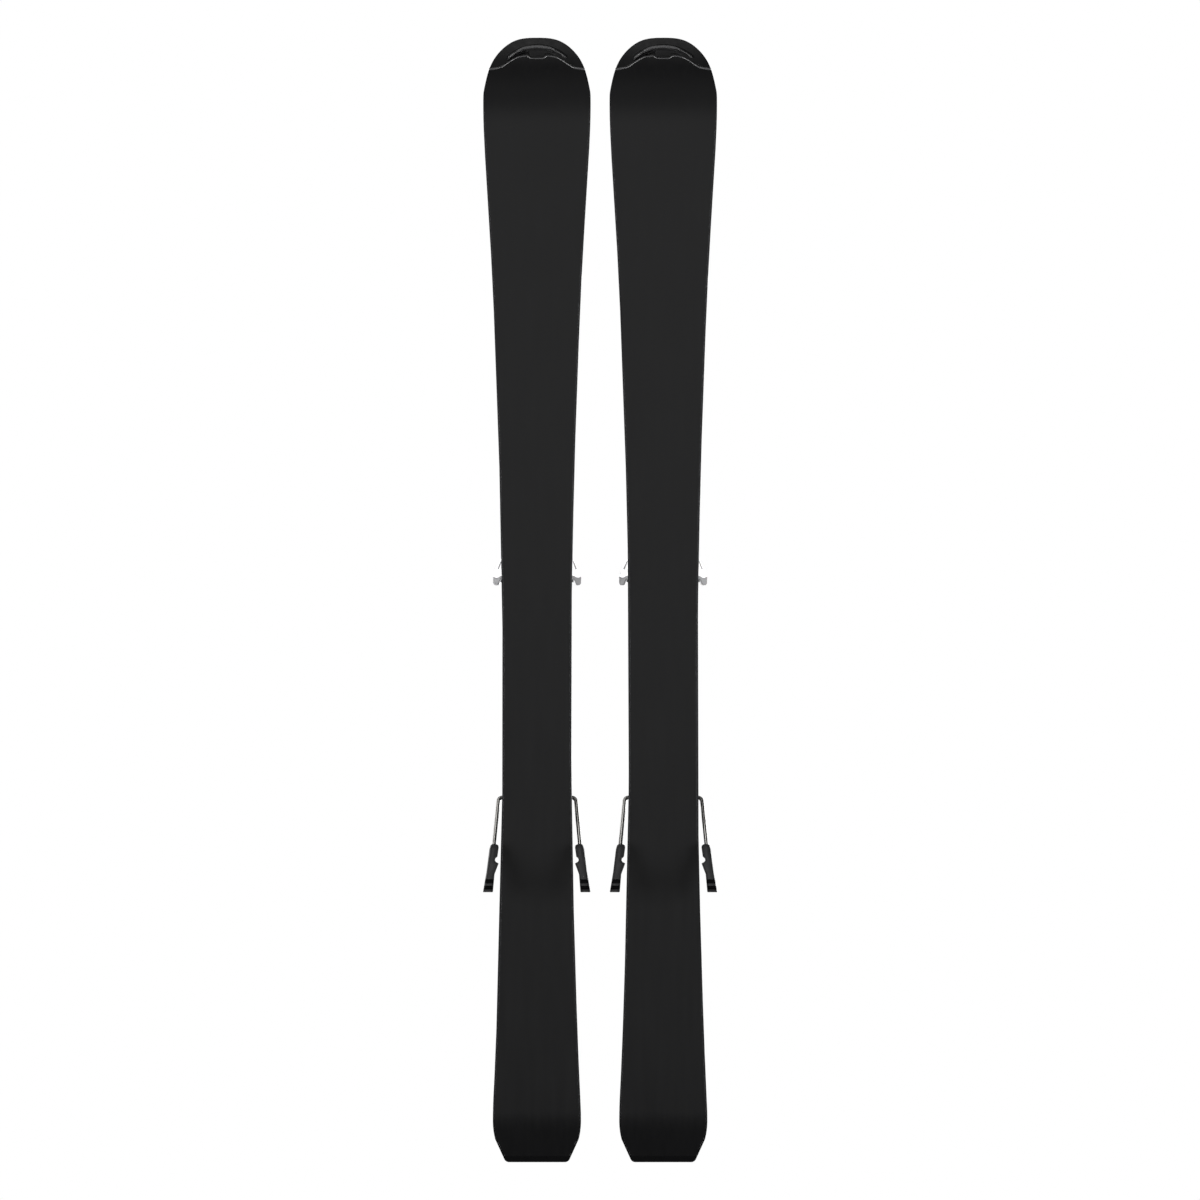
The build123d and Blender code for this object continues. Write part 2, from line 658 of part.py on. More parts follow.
def heel_pivot_pin(x):
    """Cross pin that the heel housing swings on."""
    with BuildPart() as pin:
        with BuildSketch(side_plane(x)):
            with Locations(HEEL_PIVOT):
                Circle(HEEL_PIVOT_RADIUS)
        extrude(amount=HEEL_PIN_HALF, both=True)
    return pin.part


def heel_housing(x):
    """Heel casting around the release spring."""
    rear, height = HEEL_PIVOT
    with BuildPart() as housing:
        with BuildSketch(side_plane(x)):
            with BuildLine():
                Polyline((-176.5, 29.0), (-164, 30), (HOUSING_FRONT, 38), (HOUSING_FRONT, 74),
                         (-128, 80))
                Spline((-128, 80), (-160, 77), (-184, 68), (-199, 50), (-200, 38),
                       tangents=((-1, 0), (0, -1)))
                ThreePointArc((-200, 38), (rear - 5, height - 10.9), (-176.5, 29.0))
            make_face()
        extrude(amount=HOUSING_HALF, both=True)
        fillet(housing.edges().filter_by(GeomType.BSPLINE), 2)
        with BuildSketch(side_plane(x)):
            with Locations(HEEL_PIVOT):
                Circle(HEEL_PIVOT_RADIUS + PIN_CLEARANCE)
            with Locations(LEVER_PIVOT):
                Circle(LEVER_PIN_RADIUS)
        extrude(amount=CUT, both=True, mode=Mode.SUBTRACT)
        with BuildSketch(cross_plane(x, HEEL_BORE_FRONT)):
            with Locations((0, HEEL_SPRING_HEIGHT)):
                Circle(HEEL_BORE_RADIUS)
        extrude(amount=HEEL_BORE_LENGTH, mode=Mode.SUBTRACT)
    return housing.part


def heel_cup(x):
    """Jaw over the boot's heel ledge."""
    with BuildPart() as cup:
        with BuildSketch(plan_plane(x, CUP_FLOOR)):
            with Locations((0, HEEL_CENTRE)):
                Circle(HEEL_RADIUS + CUP_WALL)
            with Locations((0, HOUSING_FRONT + CUP_NECK[1] / 2)):
                Rectangle(*CUP_NECK)
            with Locations((0, CUP_MOUTH - CUT / 2)):
                Rectangle(2 * CUT, CUT, mode=Mode.INTERSECT)
            with Locations((0, HOUSING_FRONT - CUT / 2)):
                Rectangle(2 * CUT, CUT, mode=Mode.SUBTRACT)
            with Locations((0, HEEL_CENTRE)):
                Circle(HEEL_RADIUS, mode=Mode.SUBTRACT)
        extrude(amount=HEEL_LEDGE + CUP_LEDGE - CUP_FLOOR)
        with BuildSketch(plan_plane(x, HEEL_LEDGE)):
            with Locations((0, HEEL_CENTRE)):
                Circle(HEEL_RADIUS + 1)
                Circle(HEEL_RADIUS - CUP_LEDGE_REACH, mode=Mode.SUBTRACT)
            with Locations((0, CUP_MOUTH - CUT / 2)):
                Rectangle(2 * CUT, CUT, mode=Mode.INTERSECT)
        extrude(amount=CUP_LEDGE)
    return cup.part


def heel_spring(x):
    """Release spring as a sleeve of the coil's outer and inner size."""
    with BuildPart() as spring:
        with BuildSketch(cross_plane(x, HEEL_BORE_FRONT)):
            with Locations((0, HEEL_SPRING_HEIGHT)):
                Circle(HEEL_SPRING_RADII[0])
                Circle(HEEL_SPRING_RADII[1], mode=Mode.SUBTRACT)
        extrude(amount=HEEL_SPRING_LENGTH)
    return spring.part


def heel_release_screw(x):
    """Screw that sets the heel's release force."""
    return release_screw(x, HEEL_SCREW_FACE, HEEL_SPRING_HEIGHT, HEEL_BORE_RADIUS - RELEASE_SCREW_GAP,
                         turned=True)


def lever_plane(x):
    """Side plane at the lever's pin, with its first axis along the lever to its end."""
    turn = math.radians(LEVER_ANGLE)
    return Plane(origin=(x, *LEVER_PIVOT), x_dir=(0, -math.cos(turn), math.sin(turn)), z_dir=(-1, 0, 0))


def heel_lever(x):
    """Forked lever that opens the heel, with a dished end for a pole tip."""
    with BuildPart() as lever:
        with BuildSketch(lever_plane(x)):
            with BuildLine():
                ThreePointArc((0, -7), (-7, 0), (0, 7))
                Spline((0, 7), (40, 8.5), (LEVER_LENGTH - 3, 11), tangents=((1, 0), (1, 0.25)))
                ThreePointArc((LEVER_LENGTH - 3, 11), (LEVER_LENGTH, 7), (LEVER_LENGTH - 3, 3))
                Spline((LEVER_LENGTH - 3, 3), (45, -3), (0, -7), tangents=((-1, -0.1), (-1, 0)))
            make_face()
        extrude(amount=LEVER_HALF, both=True)
        with BuildSketch(lever_plane(x)):
            with Locations((LEVER_FORK - CUT / 2, 0)):
                Rectangle(CUT, CUT)
        extrude(amount=LEVER_SLOT_HALF, both=True, mode=Mode.SUBTRACT)
        with BuildSketch(lever_plane(x)):
            Circle(LEVER_PIN_RADIUS + PIN_CLEARANCE)
        extrude(amount=CUT, both=True, mode=Mode.SUBTRACT)
    return lever.part


def heel_lever_pin(x):
    """Cross pin that the lever swings on."""
    with BuildPart() as pin:
        with BuildSketch(side_plane(x)):
            with Locations(LEVER_PIVOT):
                Circle(LEVER_PIN_RADIUS)
        extrude(amount=LEVER_HALF + LEVER_PIN_SPARE, both=True)
    return pin.part


# ---------------------------------------------------------------- brake
def brake_base(x):
    """Base with two bearings for the brake's wire."""
    along, height = BRAKE_PIVOT
    width, length, thickness = BRAKE_BASE
    floor = CARRIAGE_TOP + thickness
    with BuildPart() as base:
        with BuildSketch(plan_plane(x, CARRIAGE_TOP)):
            with Locations((0, along)):
                Rectangle(width, length)
        extrude(amount=thickness)
        for side in (-1, 1):
            with BuildSketch(side_plane(x).offset(side * BEARING_PLACE)):
                with Locations((along, (floor + height) / 2)):
                    Rectangle(2 * BEARING_RADIUS, height - floor)
                with Locations(BRAKE_PIVOT):
                    Circle(BEARING_RADIUS)
                    Circle(WIRE_RADIUS + PIN_CLEARANCE, mode=Mode.SUBTRACT)
            extrude(amount=BEARING_HALF_WIDTH, both=True)
    return base.part


def brake_point(across, reach, lift=0.0):
    """Point of the brake: across the ski, and along and above its arm's line."""
    turn = math.radians(BRAKE_ANGLE)
    along = BRAKE_PIVOT[0] - reach * math.cos(turn) - lift * math.sin(turn)
    height = BRAKE_PIVOT[1] - reach * math.sin(turn) + lift * math.cos(turn)
    return (across, along, height)


def brake_arms(x):
    """One bent wire: an arm, the cross shaft and the other arm."""
    reach = WIRE_CORNER + WIRE_FLARE * WIRE_LENGTH
    with BuildPart() as arms:
        with BuildLine() as route:
            FilletPolyline(brake_point(x - reach, WIRE_LENGTH), brake_point(x - WIRE_CORNER, 0),
                           brake_point(x + WIRE_CORNER, 0), brake_point(x + reach, WIRE_LENGTH),
                           radius=WIRE_BEND)
        with BuildSketch(Plane(origin=route.line @ 0, z_dir=route.line % 0)):
            Circle(WIRE_RADIUS)
        sweep()
    return arms.part


def brake_feet(x):
    """Two plastic paddles on the wire's ends."""
    turn = math.radians(BRAKE_ANGLE)
    down_arm = (0, -math.cos(turn), -math.sin(turn))
    with BuildPart() as feet:
        across_arm = (0, -math.sin(turn), math.cos(turn))
        paddle = Plane(origin=(x, *BRAKE_PIVOT), x_dir=(1, 0, 0), z_dir=across_arm)
        for side in (-1, 1):
            with BuildSketch(paddle):
                with BuildLine():
                    Polyline(*[(side * across, -reach) for across, reach in FOOT_OUTLINE], close=True)
                make_face()
            extrude(amount=FOOT_HALF_THICKNESS, both=True)
        blade = Plane(origin=(x, *BRAKE_PIVOT), x_dir=down_arm, z_dir=(1, 0, 0))
        with BuildSketch(blade):
            with BuildLine():
                Polyline(*FOOT_PROFILE, close=True)
            make_face()
        extrude(amount=CUT, both=True, mode=Mode.INTERSECT)
        reach = WIRE_CORNER + WIRE_FLARE * WIRE_LENGTH
        for side in (-1, 1):
            start = brake_point(x + side * WIRE_CORNER, 0)
            end = brake_point(x + side * reach, WIRE_LENGTH)
            wire = Edge.make_line(start, end)
            with BuildSketch(Plane(origin=end, z_dir=wire % 1)):
                Circle(WIRE_RADIUS)
            extrude(amount=-FOOT_SOCKET, mode=Mode.SUBTRACT)
    return feet.part


def brake_pedal(x):
    """Tread under the boot's heel, in front of the pivot and fixed to the wire."""
    turn = math.radians(PEDAL_ANGLE)
    tread = Plane(origin=(x, *BRAKE_PIVOT), x_dir=(0, math.cos(turn), math.sin(turn)), z_dir=(1, 0, 0))
    with BuildPart() as pedal:
        with BuildSketch(tread):
            Circle(PEDAL_HUB_RADIUS)
            with BuildLine():
                Polyline((0, 3.8), (10, 4.6), (12, 4.6), (12, 0.8), (3.0, -2.3), (0, 3.8))
            make_face()
            Circle(WIRE_RADIUS, mode=Mode.SUBTRACT)
        extrude(amount=PEDAL_HUB_HALF, both=True)
        with BuildSketch(tread):
            with BuildLine():
                Polyline((9.5, 0.8), (44, 0.8), (47, 2.2), (46, 3.8), (43, 4.6), (9.5, 4.6), close=True)
            make_face()
        extrude(amount=PEDAL_HALF, both=True)
    return pedal.part


def brake_spring(x):
    """Return springs beside the pedal's hub, as sleeves of the coils' size."""
    with BuildPart() as spring:
        for side in (-1, 1):
            with BuildSketch(side_plane(x).offset(side * BRAKE_SPRING_PLACE)):
                with Locations(BRAKE_PIVOT):
                    Circle(BRAKE_SPRING_RADII[0])
                    Circle(BRAKE_SPRING_RADII[1], mode=Mode.SUBTRACT)
            extrude(amount=BRAKE_SPRING_HALF, both=True)
    return spring.part


# ---------------------------------------------------------------- both skis
PIECES = [running_base, steel_edges, wood_core, sidewalls, topsheet, tip_protector, tail_protector,
          binding_screws, toe_plate, toe_pad, toe_housing, toe_wing_left, toe_wing_right,
          toe_wing_pins, toe_spring, toe_release_screw, heel_track, heel_carriage, heel_pivot_pin,
          heel_housing, heel_cup, heel_spring, heel_release_screw, heel_lever, heel_lever_pin,
          brake_base, brake_arms, brake_feet, brake_pedal, brake_spring]

for side, centre in SKIS.items():
    for make_piece in PIECES:
        piece = make_piece(centre)
        piece.label = f"{side}_{make_piece.__name__}"
        export_step(piece, f"parts/{piece.label}.step")
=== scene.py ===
"""Looks of a pair of junior alpine skis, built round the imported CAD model.

Everything is in metres in the CAD frame: +Z up, +Y to the tips, +X to the skier's right.
Tables of points are in millimetres, and the across values in them start at a ski's centre line.
"""
import json
import math

import bmesh
import bpy
from mathutils import Matrix, Vector

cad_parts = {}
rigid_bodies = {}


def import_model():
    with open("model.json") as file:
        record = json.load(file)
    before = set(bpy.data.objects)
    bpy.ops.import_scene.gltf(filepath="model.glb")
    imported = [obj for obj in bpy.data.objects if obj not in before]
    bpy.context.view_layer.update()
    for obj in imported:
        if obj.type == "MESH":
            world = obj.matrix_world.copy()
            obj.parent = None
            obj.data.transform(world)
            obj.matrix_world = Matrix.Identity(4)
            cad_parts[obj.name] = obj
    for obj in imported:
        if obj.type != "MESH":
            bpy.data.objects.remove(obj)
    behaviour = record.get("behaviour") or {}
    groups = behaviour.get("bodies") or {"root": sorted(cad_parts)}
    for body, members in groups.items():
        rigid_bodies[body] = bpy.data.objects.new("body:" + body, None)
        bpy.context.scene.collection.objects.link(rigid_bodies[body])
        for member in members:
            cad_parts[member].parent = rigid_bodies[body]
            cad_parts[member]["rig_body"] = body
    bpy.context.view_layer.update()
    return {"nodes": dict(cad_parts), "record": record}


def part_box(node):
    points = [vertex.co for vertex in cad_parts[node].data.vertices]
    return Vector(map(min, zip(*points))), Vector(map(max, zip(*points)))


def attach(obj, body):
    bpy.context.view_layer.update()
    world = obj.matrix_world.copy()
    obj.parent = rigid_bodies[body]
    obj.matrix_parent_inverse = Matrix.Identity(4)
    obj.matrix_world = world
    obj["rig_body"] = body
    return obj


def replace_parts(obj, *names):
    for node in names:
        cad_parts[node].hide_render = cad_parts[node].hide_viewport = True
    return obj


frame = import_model()

MM = 0.001
SIDES = ("left", "right")
HANDS = (("left", -1), ("right", 1))
CENTRE = {side: sum(corner.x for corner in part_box(f"{side}_running_base")) / 2 for side in SIDES}
TIP_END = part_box("left_tip_protector")[1].y
TAIL_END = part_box("left_tail_protector")[0].y
MIDDLE = Vector(((CENTRE["left"] + CENTRE["right"]) / 2, (TIP_END + TAIL_END) / 2, 0))
SLOT_OF = {part["node"]: part["material_slot"] for part in frame["record"]["subparts"]}
ALONG_X, ALONG_Y, ALONG_Z = (1, 0, 0), (0, 1, 0), (0, 0, 1)


def mirrored(half):
    """Points on both sides of the centre line, from those on the positive side."""
    return [(-across, value) for across, value in reversed(half) if across] + half


# ---------------------------------------------------------------- dimensions
# copies of CAD nodes: how near vertices are that become one, and the angles in degrees below
# which faces are joined into one and above which an edge is sharp
WELD = 0.004 * MM
FLAT_ANGLE = 0.8
SHARP_ANGLE = 32

# shovel: where the running surface leaves the ground, the radius of its upward curve, and the
# sine of its steepest tilt
SHOVEL_START = 0.560
SHOVEL_RADIUS = 0.145
STEEPEST = 0.95

# tip cap, across and along: the CAD node's seam, the raised lip beside it and the tab, and how far
# the ridge falls back from its top
CAP_VOXEL = 0.42 * MM
SEAM = mirrored([(0.0, 633.4), (17.9, 630.7), (29.3, 624.6), (39.8, 620.1), (50.0, 617.6)])
LIP = mirrored([(10.0, 632.0), (19.0, 630.5), (25.6, 627.1), (30.5, 623.5), (35.3, 620.5),
                (45.0, 618.8), (50.0, 618.4)])
LIP_END = 46.6
LIP_STEPS = 64
LIP_RADIUS, LIP_THINNER, LIP_WIDER = 0.75, 0.1, 0.5
TAB_HALF = 8.0
TAB_DROP = 3.6
TAB_GAP = 1.6
TAB = mirrored([(3.0, 629.5), (TAB_HALF - 2.0, 629.7), (TAB_HALF - 0.6, 630.6),
                (TAB_HALF + TAB_GAP, 632.0)])
TAB_RADIUS = 0.72
RIDGE_CENTRE = 598.0
RIDGE_RADIUS = 43.1
RIDGE_TOP = RIDGE_CENTRE + RIDGE_RADIUS
RIDGE_END = 26.5
RIDGE_FALL = mirrored([(0.0, 0.0), (8.4, 0.7), (14.0, 1.8), (20.0, 4.3), (23.6, 7.2),
                       (RIDGE_END, 10.2)])
RIDGE_STEPS = 48
RIDGE_THIN, RIDGE_THICKER = 0.35, 1.2
POCKET_DEPTH, POCKET_DEEPER = 0.8, 2.2
# the bead of painted shadow in the pocket: where it starts across, its length and its steps
POCKET_START, POCKET_LENGTH = 11.5, 14.0
POCKET_STEPS = 24

# toe wing, across and along: the two ends of its slanted slot, the slot's half width at each, and
# the lug's outline
WING_SLOT = ((35.2, 138.0), (38.3, 130.0))
SLOT_HALF_WIDTHS = (0.45, 0.8)
WING_LUG = [(40.6, 121.6), (38.4, 122.0), (36.4, 123.4), (34.0, 123.8), (33.6, 121.2), (35.4, 120.6),
            (36.6, 119.0), (37.8, 116.0), (39.0, 114.2), (41.9, 114.4), (43.1, 116.2), (43.2, 122.8)]

# toe piece: the plate's ear across and along, and the band on the housing's sides along and up
TOE_EAR = [(-35.7, 117.2), (35.7, 117.2), (35.7, 120.2), (-35.7, 120.2)]
TOE_BAND = [(0, 0), (30, -1.5), (33, -5), (30, -6), (0, -4.5)]
TOE_BAND_ACROSS = {"left": -26.1, "right": 25.1}

# pieces of the toe and the heel that keep the CAD node's shape, with the width of their rounding
TOE_ROUNDING = {"toe_plate": 0.8, "toe_pad": 0.4, "toe_housing": 1.0, "toe_wing_pins": 0.3,
                "toe_release_screw": 0.3}
HEEL_ROUNDING = {"heel_track": 0.4, "heel_carriage": 0.6, "heel_pivot_pin": 0.4, "heel_housing": 1.0,
                 "heel_cup": 1.0, "heel_release_screw": 0.3, "heel_lever": 1.2, "heel_lever_pin": 0.4}

# brake wire: how many degrees its arms hang, its radius, how much thicker its arms are, where its
# corners would be if they were sharp, the radius of its bends and the length of its arms
ARM_ANGLE = 40
WIRE_RADIUS = 1.75 * MM
WIRE_SWELL = 0.12 * MM
WIRE_CORNER = 37.6 * MM
WIRE_BEND = 5.0 * MM
WIRE_LENGTH = 112.0 * MM

# brake foot: inner and outer side along and across, lower and upper side along and up, where each
# groove starts and ends, and the line of the boss round the wire along and across
FOOT_INNER = [(-184.4, 42.6), (-167.2, 41.1), (-156.9, 37.2), (-155.5, 39.9), (-153.9, 40.8),
              (-152.1, 40.4), (-150.3, 38.4), (-141.6, 37.2), (-139.6, 37.6), (-138.3, 39.6)]
FOOT_OUTER = [(-184.4, 52.3), (-165.0, 49.0), (-153.0, 47.5), (-143.2, 46.3), (-139.6, 45.2),
              (-138.3, 43.8)]
FOOT_BOTTOM = [(-184.4, -47.0), (-180.4, -51.0), (-142.0, -17.0), (-137.0, -10.6)]
FOOT_TOP = [(-184.4, -42.6), (-183.0, -35.3), (-148.0, -6.5), (-142.2, -4.1), (-137.0, -3.0)]
FOOT_START, FOOT_END = FOOT_INNER[0][0], FOOT_INNER[-1][0]
FOOT_STEPS = 150
FOOT_SPOKES = 28
FOOT_SQUARENESS = 0.42
FOOT_ROUND_END, FOOT_END_SHRINK = 0.9, 0.6
FOOT_GROOVES = [(-175.7, -172.0), (-181.4, -178.2)]
GROOVE_DEPTH = 1.6
GROOVE_WALL = 0.3
BOSS_LINE = [(-179.1, 45.8), (-93.3, 37.6)]
BOSS_HALF_WIDTH, BOSS_HEIGHT = 2.2, 1.1

# camera: how far it is below the skis, the side of the square that it sees there, and how far its
# middle is from the skis' middle
CAMERA_DISTANCE = 12.0
CAMERA_VIEW = 1.0653 * (TIP_END - TAIL_END)
CAMERA_SHIFT = (0.1 * MM, -0.6 * MM)

# floor: where the shovels touch it, its gap below them and the radii between which it fades out
FLOOR_HALF = 12
TIP_TOUCH = 0.566
FLOOR_GAP = 0.3 * MM
FLOOR_FADE = (0.8, 2.2)

# lights: name, place from the skis' middle, size, power and, for an oblong one, its other size
LIGHTS = [
    ("key_below", (0, 1.15, -7.0), 2.4, 35, 3.2),
    ("tip_below", (0, 5.2, -7.0), 2.4, 16, 3.0),
    ("front_low", (0.8, 6.0, -1.3), 2.6, 70, 2.0),
    ("side_below_left", (-3.0, 0, -2.9), 1.6, 420, 2.4),
    ("side_below_right", (3.0, 0, -2.9), 1.6, 420, 2.4),
    ("key_above", (-1.8, -0.6, 3.2), 2.6, 130, None),
    ("fill_above", (2.4, 0.8, 2.0), 2.4, 60, None),
    ("rim_above", (0.5, -3.0, 1.6), 1.6, 40, None),
]
BACKDROP, SURROUNDINGS = 1.0, 0.035


# ---------------------------------------------------------------- material helpers
def link(tree, start, end):
    tree.links.new(start, end)


def node(tree, kind, **properties):
    """A shader node with its properties set."""
    made = tree.nodes.new(kind)
    for key, value in properties.items():
        setattr(made, key, value)
    return made


def shader(name, colour, roughness, metallic=0.0, coat=0.0, coat_roughness=0.1, specular=0.5):
    """A new material with one principled shader, and its tree and shader."""
    made = bpy.data.materials.new(name)
    made.use_nodes = True
    tree = made.node_tree
    surface = tree.nodes["Principled BSDF"]
    surface.inputs["Base Color"].default_value = (*colour, 1)
    surface.inputs["Roughness"].default_value = roughness
    surface.inputs["Metallic"].default_value = metallic
    surface.inputs["Coat Weight"].default_value = coat
    surface.inputs["Coat Roughness"].default_value = coat_roughness
    surface.inputs["Specular IOR Level"].default_value = specular
    return made, tree, surface


def place(tree, along=1):
    """Object coordinates in metres; along under 1 draws marks out along the ski."""
    coordinates = node(tree, "ShaderNodeTexCoord")
    mapping = node(tree, "ShaderNodeMapping")
    mapping.inputs["Scale"].default_value = (1, along, 1)
    link(tree, coordinates.outputs["Object"], mapping.inputs["Vector"])
    return mapping.outputs["Vector"]


def noise(tree, vector, scale, detail, roughness=0.55):
    """Soft random texture value between 0 and 1."""
    made = node(tree, "ShaderNodeTexNoise")
    made.inputs["Scale"].default_value = scale
    made.inputs["Detail"].default_value = detail
    made.inputs["Roughness"].default_value = roughness
    link(tree, vector, made.inputs["Vector"])
    return made.outputs["Fac"]


def spread(tree, value, low, high, start=0.3, end=0.7):
    """Maps a value between start and end to the range low to high."""
    made = node(tree, "ShaderNodeMapRange")
    made.inputs["From Min"].default_value = start
    made.inputs["From Max"].default_value = end
    made.inputs["To Min"].default_value = low
    made.inputs["To Max"].default_value = high
    link(tree, value, made.inputs["Value"])
    return made.outputs["Result"]


def colour_by(tree, surface, factor, first, second):
    """Base colour between first and second by factor."""
    made = node(tree, "ShaderNodeMix", data_type="RGBA")
    # the node has a set of sockets for each data type, and these are the colour ones
    factor_socket, first_socket, second_socket = (made.inputs[index] for index in (0, 6, 7))
    link(tree, factor, factor_socket)
    for socket, colour in ((first_socket, first), (second_socket, second)):
        if isinstance(colour, tuple):
            socket.default_value = (*colour, 1)
        else:
            link(tree, colour, socket)
    link(tree, made.outputs[2], surface.inputs["Base Color"])


def roughness_by(tree, surface, factor, low, high):
    """Roughness between low and high by a texture value."""
    link(tree, spread(tree, factor, low, high), surface.inputs["Roughness"])


def bump(tree, surface, height, distance, strength):
    """Bump of that distance in metres, by a texture value."""
    made = node(tree, "ShaderNodeBump")
    made.inputs["Strength"].default_value = strength
    made.inputs["Distance"].default_value = distance
    link(tree, height, made.inputs["Height"])
    link(tree, made.outputs["Normal"], surface.inputs["Normal"])


def scaled(colour, factor):
    """Colour made lighter or darker."""
    return tuple(min(1.0, channel * factor) for channel in colour)


# ---------------------------------------------------------------- materials
def moulded(name, colour, roughness, grain=0.02 * MM, variation=0.1, specular=0.5):
    """Moulded plastic with a fine spark-eroded grain."""
    made, tree, surface = shader(name, colour, roughness, specular=specular)
    here = place(tree)
    clouds = noise(tree, here, scale=45, detail=3)
    colour_by(tree, surface, clouds, scaled(colour, 1 - variation), scaled(colour, 1 + variation))
    patches = noise(tree, here, scale=160, detail=4)
    roughness_by(tree, surface, patches, roughness * 0.85, roughness * 1.15)
    bump(tree, surface, noise(tree, here, scale=2600, detail=3), grain, 0.5)
    return made


def sole_material():
    """Black sintered base with its fine stone-ground lines along the ski."""
    made, tree, surface = shader("base_sole", (0.0012, 0.0012, 0.0013), 0.4, specular=0.16)
    clouds = noise(tree, place(tree), scale=14, detail=3)
    colour_by(tree, surface, clouds, (0.001, 0.001, 0.0011), (0.0015, 0.0015, 0.0016))
    streaks = noise(tree, place(tree, along=0.05), scale=240, detail=4)
    roughness_by(tree, surface, streaks, 0.29, 0.33)
    grooves = noise(tree, place(tree, along=0.012), scale=2400, detail=3, roughness=0.6)
    bump(tree, surface, grooves, 0.01 * MM, 0.25)
    return made


def edge_material():
    """Hard steel edge, ground lengthwise."""
    made, tree, surface = shader("edge_steel", (0.02, 0.02, 0.021), 0.3, metallic=1.0)
    lines = noise(tree, place(tree, along=0.01), scale=5200, detail=3)
    colour_by(tree, surface, lines, (0.012, 0.012, 0.013), (0.028, 0.028, 0.029))
    bump(tree, surface, lines, 0.01 * MM, 0.5)
    return made


def wood_material():
    """Pale wood with its grain along the ski."""
    made, tree, surface = shader("core_wood", (0.5, 0.3, 0.14), 0.6)
    grain = noise(tree, place(tree, along=0.03), scale=420, detail=5)
    colour_by(tree, surface, grain, (0.38, 0.22, 0.1), (0.6, 0.38, 0.19))
    bump(tree, surface, grain, 0.05 * MM, 0.4)
    return made


def sidewall_material():
    """Black plastic with fine scuffs along the ski."""
    made, tree, surface = shader("sidewall_plastic", (0.011, 0.011, 0.012), 0.38)
    scuffs = noise(tree, place(tree, along=0.04), scale=900, detail=4)
    colour_by(tree, surface, scuffs, (0.009, 0.009, 0.01), (0.018, 0.018, 0.019))
    roughness_by(tree, surface, scuffs, 0.3, 0.5)
    bump(tree, surface, scuffs, 0.01 * MM, 0.5)
    return made


def topsheet_material(side):
    """Lacquered print: graphite with slanted bands towards tip and tail."""
    graphite = (0.018, 0.02, 0.024, 1)
    white = (0.72, 0.73, 0.75, 1)
    red = (0.42, 0.02, 0.018, 1)
    steel = (0.075, 0.085, 0.1, 1)
    # where each band starts, from 0 at the tail end of the print to 1 at its tip end
    bands = [(0.0, graphite), (0.1, red), (0.165, white), (0.18, graphite), (0.28, steel),
             (0.3, graphite), (0.72, steel), (0.74, graphite), (0.8, white), (0.815, red),
             (0.93, graphite)]
    slope, print_tail, print_tip = 0.9, -0.45, 0.65
    made, tree, surface = shader(f"topsheet_print_{side}", (0.02, 0.022, 0.026), 0.25, coat=0.6,
                                 coat_roughness=0.08)
    coordinates = node(tree, "ShaderNodeTexCoord")
    split = node(tree, "ShaderNodeSeparateXYZ")
    link(tree, coordinates.outputs["Object"], split.inputs["Vector"])
    slant = node(tree, "ShaderNodeMath", operation="MULTIPLY_ADD")
    link(tree, split.outputs["X"], slant.inputs[0])
    slant.inputs[1].default_value = slope
    link(tree, split.outputs["Y"], slant.inputs[2])
    shift = slope * CENTRE[side]
    part = spread(tree, slant.outputs["Value"], 0.0, 1.0, print_tail + shift, print_tip + shift)
    ramp = node(tree, "ShaderNodeValToRGB")
    ramp.color_ramp.interpolation = "CONSTANT"
    link(tree, part, ramp.inputs["Fac"])
    elements = ramp.color_ramp.elements
    elements[0].position, elements[0].color = bands[0]
    elements[1].position, elements[1].color = bands[1]
    for position, colour in bands[2:]:
        elements.new(position).color = colour
    weave = spread(tree, noise(tree, place(tree), scale=1500, detail=2), 0.0, 0.25)
    colour_by(tree, surface, weave, ramp.outputs["Color"], (0.03, 0.03, 0.034))
    scratches = noise(tree, place(tree, along=0.03), scale=700, detail=4)
    roughness_by(tree, surface, scratches, 0.2, 0.34)
    bump(tree, surface, scratches, 0.01 * MM, 0.3)
    return made


def white_material():
    """Glossy white plastic."""
    made, tree, surface = shader("binding_white", (0.84, 0.84, 0.85), 0.28)
    here = place(tree)
    clouds = noise(tree, here, scale=30, detail=3)
    colour_by(tree, surface, clouds, (0.8, 0.8, 0.81), (0.87, 0.87, 0.88))
    roughness_by(tree, surface, noise(tree, here, scale=120, detail=3), 0.24, 0.34)
    bump(tree, surface, noise(tree, here, scale=1800, detail=2), 0.01 * MM, 0.3)
    return made


def metal_material(name, colour, roughness):
    """Steel with a fine grain."""
    made, tree, surface = shader(name, colour, roughness, metallic=1.0)
    grain = noise(tree, place(tree), scale=3000, detail=3)
    colour_by(tree, surface, grain, scaled(colour, 0.82), colour)
    patches = noise(tree, place(tree), scale=220, detail=4)
    roughness_by(tree, surface, patches, roughness * 0.8, roughness * 1.25)
    bump(tree, surface, grain, 0.01 * MM, 0.4)
    return made


